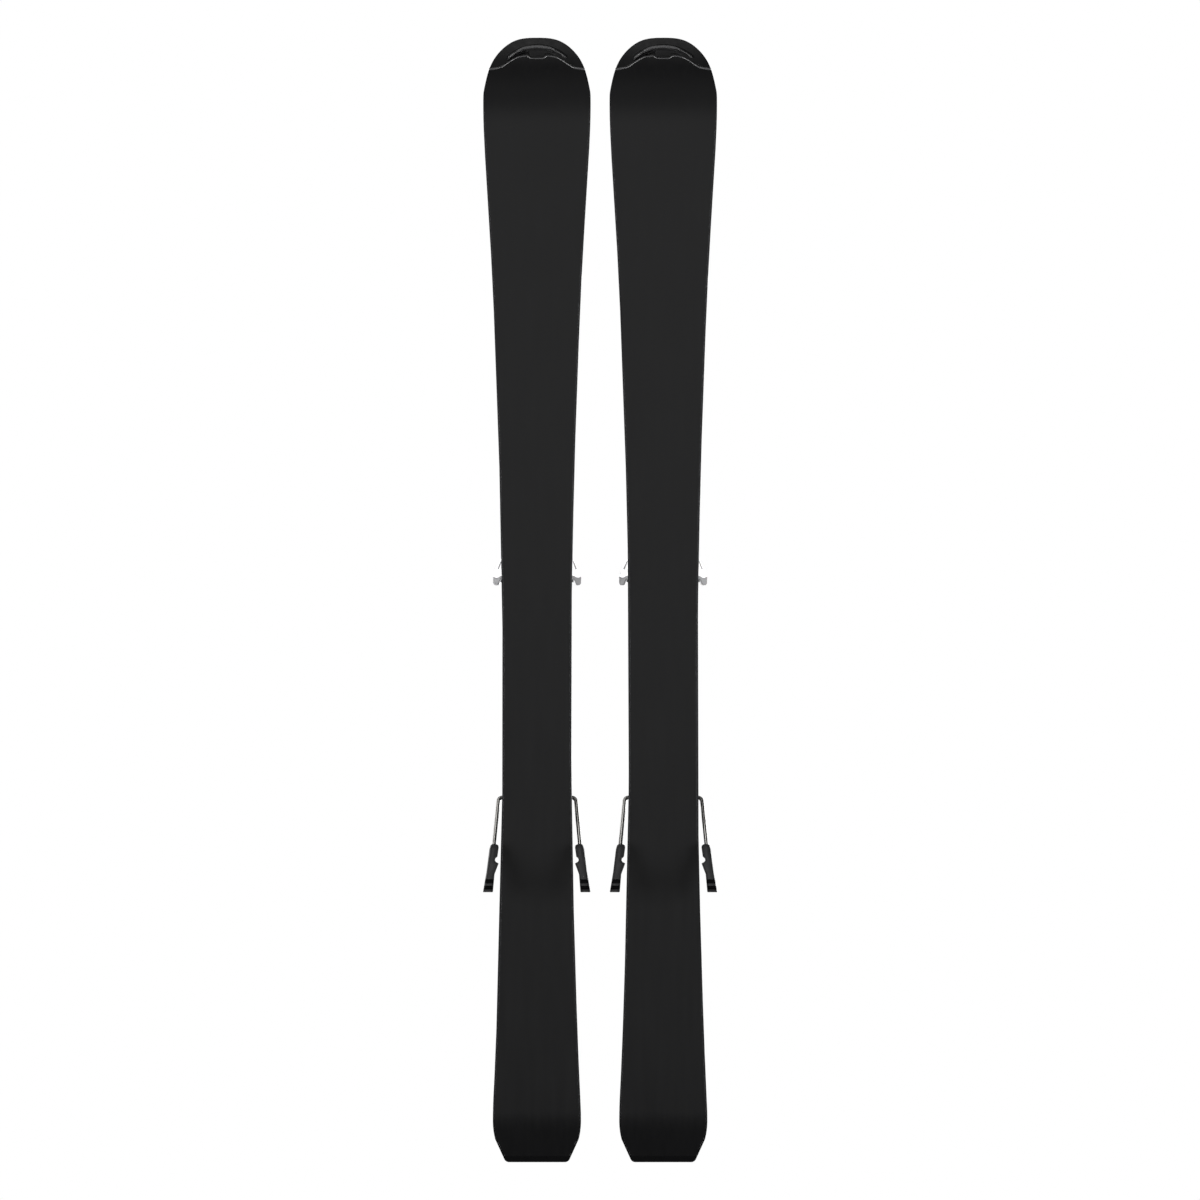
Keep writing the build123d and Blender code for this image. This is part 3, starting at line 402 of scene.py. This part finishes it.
MATERIALS = {
    "base_sole": sole_material(),
    "edge_steel": edge_material(),
    "core_wood": wood_material(),
    "sidewall_plastic": sidewall_material(),
    "topsheet_left": topsheet_material("left"),
    "topsheet_right": topsheet_material("right"),
    "protector_plastic": moulded("protector_plastic", (0.0019, 0.0019, 0.002), 0.36, specular=0.1),
    # painted shadow: near-black for the bead in the tip cap's pocket, the brake feet's grooves and
    # the tail caps
    "shadow_black": moulded("shadow_black", (0.0008, 0.0008, 0.0009), 0.6, specular=0.02),
    "fastener_steel": metal_material("fastener_steel", (0.55, 0.55, 0.56), 0.32),
    "spring_steel": metal_material("spring_steel", (0.32, 0.32, 0.33), 0.35),
    "binding_black": moulded("binding_black", (0.013, 0.013, 0.014), 0.46),
    "binding_grey": moulded("binding_grey", (0.08, 0.08, 0.084), 0.42),
    "binding_white": white_material(),
    "slider_white": moulded("slider_white", (0.62, 0.62, 0.61), 0.3, 0.01 * MM, 0.03),
    "brake_wire": metal_material("brake_wire", (0.25, 0.245, 0.235), 0.2),
    "foot_black": moulded("foot_black", (0.006, 0.006, 0.0063), 0.46, 0.03 * MM, specular=0.2),
    # painted highlight: plastic much lighter than the cap's, for the highlights on its lip and ridge
    "cap_bead_highlight": moulded("cap_bead_highlight", (0.018, 0.018, 0.0185), 0.36, specular=0.3),
    # painted shade: grey that stands for the shadow in the toe wings' slot and the shade on the
    # underside of their lug
    "wing_shade": moulded("wing_shade", (0.2, 0.2, 0.204), 0.5, 0.01 * MM, 0.04, 0.25),
    "window": moulded("window", (0.5, 0.08, 0.02), 0.15, 0.0, 0.02),
}


# ---------------------------------------------------------------- curves
def through(points, x):
    """Height at x on a smooth curve through points that are sorted by x."""
    last = len(points) - 2
    index = max(0, min(last, sum(1 for point in points if point[0] <= x) - 1))
    before = points[max(0, index - 1)][1]
    start, end = points[index], points[index + 1]
    after = points[min(len(points) - 1, index + 2)][1]
    t = max(0.0, min(1.0, (x - start[0]) / (end[0] - start[0])))
    return 0.5 * (2 * start[1] + (end[1] - before) * t
                  + (2 * before - 5 * start[1] + 4 * end[1] - after) * t ** 2
                  + (3 * start[1] - before - 3 * end[1] + after) * t ** 3)


def straight(points, x):
    """Height at x on straight runs between points that are sorted by x."""
    for start, end in zip(points, points[1:]):
        if x <= end[0]:
            break
    part = max(0.0, min(1.0, (x - start[0]) / (end[0] - start[0])))
    return start[1] + (end[1] - start[1]) * part


def ease(value, low, high):
    """0 below low, 1 above high, and smooth between them."""
    t = max(0.0, min(1.0, (value - low) / (high - low)))
    return t * t * (3 - 2 * t)


def hill(distance, half_width):
    """1 at no distance, falling smoothly to almost nothing at twice the half width."""
    return math.exp(-(distance / half_width) ** 2)


def circle(centre, first, second, radius, count):
    """Points round a centre in the plane of two directions."""
    turns = [2 * math.pi * spoke / count for spoke in range(count)]
    return [centre + (first * math.cos(turn) + second * math.sin(turn)) * radius for turn in turns]


# ---------------------------------------------------------------- pieces
def settle(piece, name, material=None, stands_for=()):
    """Gives a piece its finish, by default the material of its node's slot, and ties it to the body
    of the node it belongs to.
    """
    slot = SLOT_OF[name]
    piece.data.materials.clear()
    piece.data.materials.append(material or MATERIALS[slot])
    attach(piece, frame["nodes"][name]["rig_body"])
    if stands_for:
        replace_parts(piece, *stands_for)
    return piece


def new_object(name, shape):
    """Object in the scene whose mesh is that shape, which is used up."""
    mesh = bpy.data.meshes.new(name)
    shape.to_mesh(mesh)
    shape.free()
    made = bpy.data.objects.new(name, mesh)
    bpy.context.scene.collection.objects.link(made)
    return made


def copied_shape(name):
    """Clean mesh with a CAD node's shape: welded, with its coplanar triangles joined."""
    shape = bmesh.new()
    shape.from_mesh(frame["nodes"][name].data)
    bmesh.ops.remove_doubles(shape, verts=shape.verts, dist=WELD)
    bmesh.ops.dissolve_degenerate(shape, dist=WELD, edges=shape.edges)
    bmesh.ops.dissolve_limit(shape, angle_limit=math.radians(FLAT_ANGLE), verts=shape.verts,
                             edges=shape.edges)
    return shape


def smooth_faces(shape):
    for face in shape.faces:
        face.smooth = True


def finish_shading(shape, sharp=SHARP_ANGLE):
    """Smooth faces with sharp edges where the surface turns by more than that many degrees."""
    smooth_faces(shape)
    for edge in shape.edges:
        edge.smooth = len(edge.link_faces) == 2 and edge.calc_face_angle(0) < math.radians(sharp)


def add_rounding(piece, width, segments):
    """Rounds a piece's edges, with flat faces that stay flat."""
    bevel = piece.modifiers.new("rounding", "BEVEL")
    bevel.width = width
    bevel.segments = segments
    bevel.limit_method = "ANGLE"
    bevel.angle_limit = math.radians(SHARP_ANGLE)
    bevel.use_clamp_overlap = True
    bevel.miter_outer = "MITER_ARC"
    weight = piece.modifiers.new("weight", "WEIGHTED_NORMAL")
    weight.weight = 80
    weight.keep_sharp = True


def softened(name, width, segments=3, material=None):
    """Piece that stands for a CAD node and has its shape, with edges rounded by millimetres."""
    shape = copied_shape(name)
    finish_shading(shape)
    piece = new_object(f"{name}_body", shape)
    if width:
        add_rounding(piece, width * MM, segments)
    return settle(piece, name, material, (name,))


def closed_skin(rings):
    """Closed shape through rings of equally many points."""
    shape = bmesh.new()
    loops = [[shape.verts.new(point) for point in ring] for ring in rings]
    count = len(loops[0])
    for first, second in zip(loops, loops[1:]):
        for index in range(count):
            following = (index + 1) % count
            shape.faces.new((first[index], first[following], second[following], second[index]))
    shape.faces.new(list(reversed(loops[0])))
    shape.faces.new(loops[-1])
    bmesh.ops.recalc_face_normals(shape, faces=shape.faces)
    return shape


def loft(name, node_name, rings, material=None, sharp=50):
    """Closed piece through rings of equally many points."""
    shape = closed_skin(rings)
    finish_shading(shape, sharp)
    return settle(new_object(name, shape), node_name, material)


def prism(name, node_name, outline, origin, first, second, depth, rounding, material=None,
          segments=3):
    """Rounded piece: an outline in the plane of two directions, drawn out along their normal.

    The outline, the depth and the rounding are in millimetres.
    """
    first, second = Vector(first).normalized(), Vector(second).normalized()
    normal = first.cross(second).normalized()
    rings = [[Vector(origin) + first * (a * MM) + second * (b * MM) + normal * (level * MM)
              for a, b in outline] for level in (0, depth)]
    shape = closed_skin(rings)
    finish_shading(shape)
    piece = new_object(name, shape)
    add_rounding(piece, rounding * MM, segments)
    return settle(piece, node_name, material)


def coil(name, node_name, middle, axis, length, radius, wire, turns):
    """Helical spring about an axis, with its turns closer together at both ends."""
    steps_turn, spokes, closing = 28, 10, 0.25
    total = turns * steps_turn
    along = Vector(axis).normalized()
    across = along.orthogonal().normalized()
    third = along.cross(across)
    rings = []
    for step in range(total + 1):
        part = step / total
        angle = 2 * math.pi * turns * part
        eased = 0.5 - 0.5 * math.cos(math.pi * part)
        reached = (1 - closing) * part + closing * eased
        outward = across * math.cos(angle) + third * math.sin(angle)
        centre = middle + along * length * (reached - 0.5) + outward * radius
        rings.append(circle(centre, outward, along, wire, spokes))
    return loft(name, node_name, rings, sharp=180)


def bead(name, node_name, points, radii, material):
    """Round bead through points, with a radius in millimetres at each."""
    rings = []
    for index, point in enumerate(points):
        ahead = points[min(index + 1, len(points) - 1)] - points[max(index - 1, 0)]
        across = ahead.cross(Vector(ALONG_Z)).normalized()
        upright = ahead.cross(across).normalized()
        rings.append(circle(point, across, upright, radii[index] * MM, 12))
    return loft(name, node_name, rings, material)


# ---------------------------------------------------------------- ski
def shovel_tilt(along):
    """How far the shovel has turned up at that place, which is in metres."""
    return math.asin(max(0.0, min(STEEPEST, (along - SHOVEL_START) / SHOVEL_RADIUS)))


def sole_point(x, across, along, below):
    """Point that far below the running surface's shovel, all but x in millimetres."""
    tilt = shovel_tilt(along * MM)
    reach = SHOVEL_RADIUS + below * MM
    return Vector((x + across * MM, SHOVEL_START + reach * math.sin(tilt),
                   SHOVEL_RADIUS - reach * math.cos(tilt)))


def pocket_relief(across, along):
    """How far the cap's underside is let in there: 0 or less, all in millimetres."""
    seam = through(SEAM, across)
    if abs(across) < TAB_HALF:
        seam -= TAB_DROP
    within_ridge = RIDGE_RADIUS - math.hypot(across, along - RIDGE_CENTRE)
    turn = math.degrees(math.atan2(across, along - RIDGE_CENTRE))
    pocket = ease(within_ridge, 1.0, 2.4) * ease(along - seam, 1.6, 3.2)
    pocket *= (1 - ease(abs(turn), 38, 48)) * (1 - ease(-across, 13, 19))
    return -(POCKET_DEPTH + POCKET_DEEPER * ease(across, 6, 14)) * pocket


def relax(shape, factor):
    """Evens out a mesh by moving each vertex part of the way to its neighbours' middle."""
    bmesh.ops.smooth_vert(shape, verts=shape.verts, factor=factor, use_axis_x=True,
                          use_axis_y=True, use_axis_z=True)


def tip_cap(side):
    """Moulded tip cap: the CAD node's shape with a pocket let into its underside."""
    name = f"{side}_tip_protector"
    piece = new_object(f"{name}_body", copied_shape(name))
    remesh = piece.modifiers.new("remesh", "REMESH")
    remesh.mode = "VOXEL"
    remesh.voxel_size = CAP_VOXEL
    graph = bpy.context.evaluated_depsgraph_get()
    piece.data = bpy.data.meshes.new_from_object(piece.evaluated_get(graph))
    piece.modifiers.clear()
    shape = bmesh.new()
    shape.from_mesh(piece.data)
    for _ in range(3):
        relax(shape, 0.5)
    shape.normal_update()
    moves = []
    for vertex in shape.verts:
        tilt = shovel_tilt(vertex.co.y)
        down = Vector((0, math.sin(tilt), -math.cos(tilt)))
        facing = ease(vertex.normal.dot(down), 0.35, 0.75)
        if facing > 0:
            lift = pocket_relief((vertex.co.x - CENTRE[side]) / MM, vertex.co.y / MM)
            moves.append((vertex, down * lift * MM * facing))
    for vertex, move in moves:
        vertex.co += move
    relax(shape, 0.35)
    smooth_faces(shape)
    shape.to_mesh(piece.data)
    shape.free()
    settle(piece, name, None, (name,))


def cap_lip(side):
    """Raised lip along the cap's seam, in two lengths, and round its tab, in lighter plastic as a
    painted highlight.
    """
    x = CENTRE[side]
    name = f"{side}_tip_protector"
    material = MATERIALS["cap_bead_highlight"]
    stations = [LIP_END * (-1 + 2 * step / LIP_STEPS) for step in range(LIP_STEPS + 1)]
    for hand, sign in HANDS:
        points, radii = [], []
        for across in stations:
            if across * sign < TAB_HALF + TAB_GAP:
                continue
            wide = ease(abs(across), 32, 42)
            thin = hill(abs(across) - 26, 9)
            points.append(sole_point(x, across, through(LIP, across), -0.2 + 0.1 * wide))
            radii.append(LIP_RADIUS - LIP_THINNER * thin + LIP_WIDER * wide)
        bead(f"{side}_tip_lip_{hand}", name, points, radii, material)
    points = [sole_point(x, across, along, -0.35) for across, along in TAB]
    bead(f"{side}_tip_lip_tab", name, points, [TAB_RADIUS] * len(points), material)


def cap_ridge(side):
    """Arched ridge that sinks away at both ends, in lighter plastic as a painted highlight."""
    points, radii = [], []
    for step in range(RIDGE_STEPS + 1):
        across = RIDGE_END * math.sin(math.pi / 2 * (-1 + 2 * step / RIDGE_STEPS))
        taper = 1 - ease(across, 8, 27) if across > 0 else 1 - ease(-across, 8, 23)
        along = RIDGE_TOP - through(RIDGE_FALL, across)
        points.append(sole_point(CENTRE[side], across, along, 0.65 * taper - 0.12))
        radii.append(RIDGE_THIN + RIDGE_THICKER * taper)
    bead(f"{side}_tip_ridge", f"{side}_tip_protector", points, radii, MATERIALS["cap_bead_highlight"])


def cap_pocket_shadow(side):
    """Near-black bead of painted shadow lying as the floor of the pocket behind the ridge, thickest
    in its middle.
    """
    points, radii = [], []
    for step in range(POCKET_STEPS + 1):
        across = POCKET_START + POCKET_LENGTH * step / POCKET_STEPS
        wide = math.sin(math.pi * step / POCKET_STEPS)
        along = RIDGE_TOP - through(RIDGE_FALL, across) - 2.2 - 0.8 * wide
        points.append(sole_point(CENTRE[side], across, along, -1.0))
        radii.append(0.25 + 1.15 * wide)
    bead(f"{side}_tip_pocket_shadow", f"{side}_tip_protector", points, radii, MATERIALS["shadow_black"])


def ski(side):
    """Sole, edges, core, sidewalls, topsheet, screws and the two end caps."""
    softened(f"{side}_running_base", 0)
    softened(f"{side}_steel_edges", 0.15, 2)
    softened(f"{side}_wood_core", 0)
    softened(f"{side}_sidewalls", 0.15, 2)
    softened(f"{side}_topsheet", 0.3, 2, MATERIALS[f"topsheet_{side}"])
    # the tail cap is drawn in the painted-shadow black, darker than its own black plastic: painted
    # shade
    softened(f"{side}_tail_protector", 0.6, 3, MATERIALS["shadow_black"])
    softened(f"{side}_binding_screws", 0.12, 1)
    tip_cap(side)
    cap_lip(side)
    cap_ridge(side)
    cap_pocket_shadow(side)


# ---------------------------------------------------------------- binding
def toe_wing(side, hand, sign):
    """White jaw with a grey strip of painted shadow for its slanted slot and a lug at its tail end,
    grey as painted shade.
    """
    name = f"{side}_toe_wing_{hand}"
    x = CENTRE[side]
    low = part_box(name)[0]
    shade = MATERIALS["wing_shade"]
    softened(name, 0.9)
    start, end = WING_SLOT
    thin, thick = SLOT_HALF_WIDTHS
    half = math.dist(start, end) / 2
    outline = [(-half, -thin), (half, -thick), (half, thick), (-half, thin)]
    direction = Vector((sign * (end[0] - start[0]), end[1] - start[1], 0)).normalized()
    middle = (x + sign * (start[0] + end[0]) / 2 * MM, (start[1] + end[1]) / 2 * MM,
              low.z - 0.25 * MM)
    # grey strip below the wing: painted shadow in the slot
    prism(f"{name}_slot", name, outline, middle, direction, direction.cross(Vector((0, 0, -1))),
          depth=0.6, rounding=0.08, material=shade, segments=1)
    # grey lug: painted shade on the underside of the wing's tail end
    outline = [(sign * across, along) for across, along in WING_LUG]
    prism(f"{name}_lug", name, outline, (x, 0, low.z - 1.0 * MM), ALONG_X, ALONG_Y, depth=2.2,
          rounding=0.5, material=shade)


def indicator(name, node_name, centre, rise, width, length):
    """Release-force window: a plain strip with round corners, its two sizes in millimetres."""
    corner, corner_step = 1.2, 22.5
    outline = []
    for across, along, begin in ((1, 1, 0), (-1, 1, 90), (-1, -1, 180), (1, -1, 270)):
        for step in range(5):
            turn = math.radians(begin + corner_step * step)
            outline.append((across * (width / 2 - corner) + corner * math.cos(turn),
                            along * (length / 2 - corner) + corner * math.sin(turn)))
    prism(name, node_name, outline, centre, ALONG_X, (0, 1, rise), depth=0.7, rounding=0.2,
          material=MATERIALS["window"], segments=2)


def release_spring(side, part, slack, radius, wire, turns):
    """Wound spring along the ski, shorter than the CAD one by the slack; all in millimetres."""
    name = f"{side}_{part}_spring"
    low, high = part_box(name)
    spring = coil(f"{name}_coil", name, (low + high) / 2, ALONG_Y, high.y - low.y - slack * MM,
                  radius * MM, wire * MM, turns)
    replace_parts(spring, name)


def toe_piece(side):
    """Plate, pad, housing, pins, screw, wings, spring, window and bands of the toe piece."""
    x = CENTRE[side]
    for part, width in TOE_ROUNDING.items():
        softened(f"{side}_{part}", width)
    prism(f"{side}_toe_ear", f"{side}_toe_plate", TOE_EAR, (x, 0, 14.6 * MM), ALONG_X, ALONG_Y,
          depth=4.6, rounding=0.4)
    for hand, sign in HANDS:
        toe_wing(side, hand, sign)
    release_spring(side, "toe", slack=2.2, radius=5.1, wire=1.1, turns=6)
    housing = f"{side}_toe_housing"
    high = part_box(housing)[1]
    indicator(f"{side}_toe_indicator", housing, (x, high.y - 32 * MM, high.z - 1.25 * MM),
              rise=-0.06, width=7, length=17)
    for hand, across in TOE_BAND_ACROSS.items():
        prism(f"{side}_toe_band_{hand}", housing, TOE_BAND, (x + across * MM, 151 * MM, 33 * MM),
              ALONG_Y, ALONG_Z, depth=1.0, rounding=0.35, material=MATERIALS["binding_black"])


def heel_piece(side):
    """Track, carriage, housing, cup, lever, pins, screw, spring and window of the heel piece."""
    x = CENTRE[side]
    for part, width in HEEL_ROUNDING.items():
        softened(f"{side}_{part}", width)
    release_spring(side, "heel", slack=2.4, radius=5.2, wire=1.2, turns=10)
    housing = f"{side}_heel_housing"
    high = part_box(housing)[1]
    indicator(f"{side}_heel_indicator", housing, (x, high.y - 15.5 * MM, high.z - 0.75 * MM),
              rise=0.06, width=8, length=12)


def brake_wire(side):
    """One bent wire: arm, cross shaft and arm, with round bends."""
    shaft_steps, bend_steps, arm_steps, spokes = 6, 12, 20, 20
    name = f"{side}_brake_arms"
    x = CENTRE[side]
    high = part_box(name)[1]
    pivot = (high.y - WIRE_RADIUS, high.z - WIRE_RADIUS)
    turn = math.radians(ARM_ANGLE)
    arm_end = Vector((high.x - x - WIRE_RADIUS, pivot[0] - WIRE_LENGTH * math.cos(turn),
                      pivot[1] - WIRE_LENGTH * math.sin(turn)))
    bend = Vector((WIRE_CORNER, *pivot))
    out = (arm_end - bend).normalized()
    inward = Vector((-1, 0, 0))
    half_turn = (math.pi - out.angle(inward)) / 2
    setback = WIRE_BEND * math.tan(half_turn)
    centre = bend + (out + inward).normalized() * WIRE_BEND / math.cos(half_turn)
    start, finish = bend + inward * setback, bend + out * setback
    chord = [start + (finish - start) * part / bend_steps for part in range(bend_steps + 1)]
    half_route = [Vector((WIRE_CORNER * part / shaft_steps, *pivot)) for part in range(shaft_steps)]
    half_route += [centre + (point - centre).normalized() * WIRE_BEND for point in chord]
    half_route += [finish + (arm_end - finish) * part / arm_steps
                   for part in range(1, arm_steps + 1)]
    other_half = [Vector((-point.x, point.y, point.z)) for point in reversed(half_route[1:])]
    route = [point + Vector((x, 0, 0)) for point in other_half + half_route]
    upright = Vector(ALONG_Z)
    rings = []
    for index, point in enumerate(route):
        ahead = (route[min(index + 1, len(route) - 1)] - route[max(index - 1, 0)]).normalized()
        upright = (upright - ahead * upright.dot(ahead)).normalized()
        radius = WIRE_RADIUS + WIRE_SWELL * ease(abs(point.x - x) / MM, 33, 37)
        rings.append(circle(point, upright, ahead.cross(upright), radius, spokes))
    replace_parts(loft(f"{name}_wire", name, rings), name)


def foot_groove(along):
    """1 in a groove of the brake foot and 0 outside, with a short slope at each wall."""
    return sum(ease(along, first - GROOVE_WALL, first + GROOVE_WALL)
               - ease(along, last - GROOVE_WALL, last + GROOVE_WALL)
               for first, last in FOOT_GROOVES)


def foot_ring(side, sign, along):
    """Cross-section of a brake foot: a rounded box with the boss and the grooves below."""
    to_end = min(along - FOOT_START, FOOT_END - along)
    shrink = FOOT_END_SHRINK * (1 - min(1.0, (to_end + 0.25) / FOOT_ROUND_END))
    inner, outer = straight(FOOT_INNER, along) + shrink, straight(FOOT_OUTER, along) - shrink
    bottom, top = straight(FOOT_BOTTOM, along) + shrink, straight(FOOT_TOP, along) - shrink
    ring = []
    for spoke in range(FOOT_SPOKES):
        turn = 2 * math.pi * spoke / FOOT_SPOKES
        wide = math.copysign(abs(math.cos(turn)) ** FOOT_SQUARENESS, math.cos(turn))
        tall = math.copysign(abs(math.sin(turn)) ** FOOT_SQUARENESS, math.sin(turn))
        across = (inner + outer) / 2 + (outer - inner) / 2 * wide
        height = (bottom + top) / 2 + (top - bottom) / 2 * tall
        if math.sin(turn) < -0.2:
            boss = hill(across - straight(BOSS_LINE, along), BOSS_HALF_WIDTH)
            height += GROOVE_DEPTH * foot_groove(along)
            height -= BOSS_HEIGHT * boss * ease(along, -158, -146)
        ring.append(Vector((CENTRE[side] + sign * across * MM, along * MM, height * MM)))
    return ring


def brake_foot(side, hand, sign):
    """Paddle with a hook notch, a boss round the wire and two grooves near its end, their faces black
    as painted shadow.
    """
    length = FOOT_END - FOOT_START
    stations = [FOOT_START + length * step / FOOT_STEPS for step in range(FOOT_STEPS + 1)]
    rings = [foot_ring(side, sign, along) for along in stations]
    piece = loft(f"{side}_brake_foot_{hand}", f"{side}_brake_feet", rings)
    # the faces in the grooves get the near-black material: painted shadow in the grooves
    piece.data.materials.append(MATERIALS["shadow_black"])
    for face in piece.data.polygons:
        step = round((face.center.y / MM - FOOT_START) / length * FOOT_STEPS)
        nearest = stations[min(FOOT_STEPS, max(0, step))]
        if foot_groove(nearest) > 0.5 and face.normal.z < 0.5:
            face.material_index = 1
    return piece


def brake(side):
    """Base, pedal, wire, the two return springs and the two feet."""
    softened(f"{side}_brake_base", 0.5, 2)
    softened(f"{side}_brake_pedal", 0.6)
    brake_wire(side)
    springs = f"{side}_brake_spring"
    low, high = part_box(springs)
    coils = [coil(f"{side}_brake_coil_{hand}", springs,
                  (low + high) / 2 + Vector((sign * 11 * MM, 0, 0)), ALONG_X, length=3.6 * MM,
                  radius=2.9 * MM, wire=0.6 * MM, turns=3) for hand, sign in HANDS]
    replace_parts(coils[0], springs)
    feet = [brake_foot(side, hand, sign) for hand, sign in HANDS]
    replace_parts(feet[0], f"{side}_brake_feet")


# ---------------------------------------------------------------- stage
def make_camera():
    """Long lens far below the skis, looking straight up at their soles."""
    data = bpy.data.cameras.new("camera")
    data.sensor_width = 36
    data.lens = data.sensor_width * CAMERA_DISTANCE / CAMERA_VIEW
    data.clip_end = 60
    camera = bpy.data.objects.new("camera", data)
    camera.location = MIDDLE + Vector((*CAMERA_SHIFT, -CAMERA_DISTANCE))
    # looks along +Z with +Y up, so that its right is -X
    camera.rotation_euler = Matrix(((-1, 0, 0), (0, 1, 0), (0, 0, -1))).to_euler()
    bpy.context.scene.collection.objects.link(camera)
    bpy.context.scene.camera = camera


def floor_material():
    """Pale finish that is clear from below and fades out away from the skis."""
    made, tree, surface = shader("floor", (0.8, 0.8, 0.8), 0.7)
    clouds = noise(tree, place(tree), scale=3, detail=4)
    colour_by(tree, surface, clouds, (0.78, 0.78, 0.785), (0.82, 0.82, 0.82))
    geometry = node(tree, "ShaderNodeNewGeometry")
    clear = node(tree, "ShaderNodeBsdfTransparent")
    blend = node(tree, "ShaderNodeMixShader")
    coordinates = node(tree, "ShaderNodeTexCoord")
    reach = node(tree, "ShaderNodeVectorMath", operation="LENGTH")
    link(tree, coordinates.outputs["Object"], reach.inputs[0])
    faded = spread(tree, reach.outputs["Value"], 0.0, 1.0, *FLOOR_FADE)
    hidden = node(tree, "ShaderNodeMath", operation="MAXIMUM")
    link(tree, geometry.outputs["Backfacing"], hidden.inputs[0])
    link(tree, faded, hidden.inputs[1])
    link(tree, hidden.outputs["Value"], blend.inputs["Fac"])
    link(tree, surface.outputs["BSDF"], blend.inputs[1])
    link(tree, clear.outputs["BSDF"], blend.inputs[2])
    link(tree, blend.outputs["Shader"], tree.nodes["Material Output"].inputs["Surface"])
    return made


def make_floor():
    """Pale floor under the brake feet and the shovels, seen only from above."""
    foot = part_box("left_brake_feet")[0]
    slope = math.atan2(-foot.z, TIP_TOUCH - foot.y - 4 * MM)
    grid = bmesh.new()
    bmesh.ops.create_grid(grid, x_segments=2, y_segments=2, size=FLOOR_HALF)
    floor = new_object("floor", grid)
    floor.rotation_euler = (slope, 0, 0)
    floor.location = (MIDDLE.x, MIDDLE.y, -FLOOR_GAP - math.tan(slope) * (TIP_TOUCH - MIDDLE.y))
    floor.visible_diffuse = False
    floor.visible_glossy = False
    floor.visible_transmission = False
    floor.visible_shadow = False
    floor.data.materials.append(floor_material())


def make_world():
    """White backdrop behind the skis, and dim surroundings that light them."""
    world = bpy.data.worlds.new("world")
    bpy.context.scene.world = world
    world.use_nodes = True
    tree = world.node_tree
    tree.nodes.clear()
    output = node(tree, "ShaderNodeOutputWorld")
    path = node(tree, "ShaderNodeLightPath")
    blend = node(tree, "ShaderNodeMixShader")
    link(tree, path.outputs["Is Camera Ray"], blend.inputs["Fac"])
    for strength, socket in ((SURROUNDINGS, blend.inputs[1]), (BACKDROP, blend.inputs[2])):
        background = node(tree, "ShaderNodeBackground")
        background.inputs["Color"].default_value = (1, 1, 1, 1)
        background.inputs["Strength"].default_value = strength
        link(tree, background.outputs["Background"], socket)
    link(tree, blend.outputs["Shader"], output.inputs["Surface"])


def area_light(name, offset, size, power, other_size):
    """Area light at that offset from the skis' middle, which it faces."""
    data = bpy.data.lights.new(name, "AREA")
    data.energy = power
    data.size = size
    if other_size:
        data.shape = "RECTANGLE"
        data.size_y = other_size
    lamp = bpy.data.objects.new(name, data)
    lamp.location = MIDDLE + Vector(offset)
    lamp.rotation_mode = "QUATERNION"
    lamp.rotation_quaternion = Vector(offset).to_track_quat("Z", "Y")
    lamp.visible_camera = False
    bpy.context.scene.collection.objects.link(lamp)


for ski_side in SIDES:
    ski(ski_side)
    toe_piece(ski_side)
    heel_piece(ski_side)
    brake(ski_side)
make_camera()
make_floor()
make_world()
for light in LIGHTS:
    area_light(*light)
bpy.context.scene.view_settings.view_transform = "Standard"
bpy.context.scene.view_settings.look = "None"
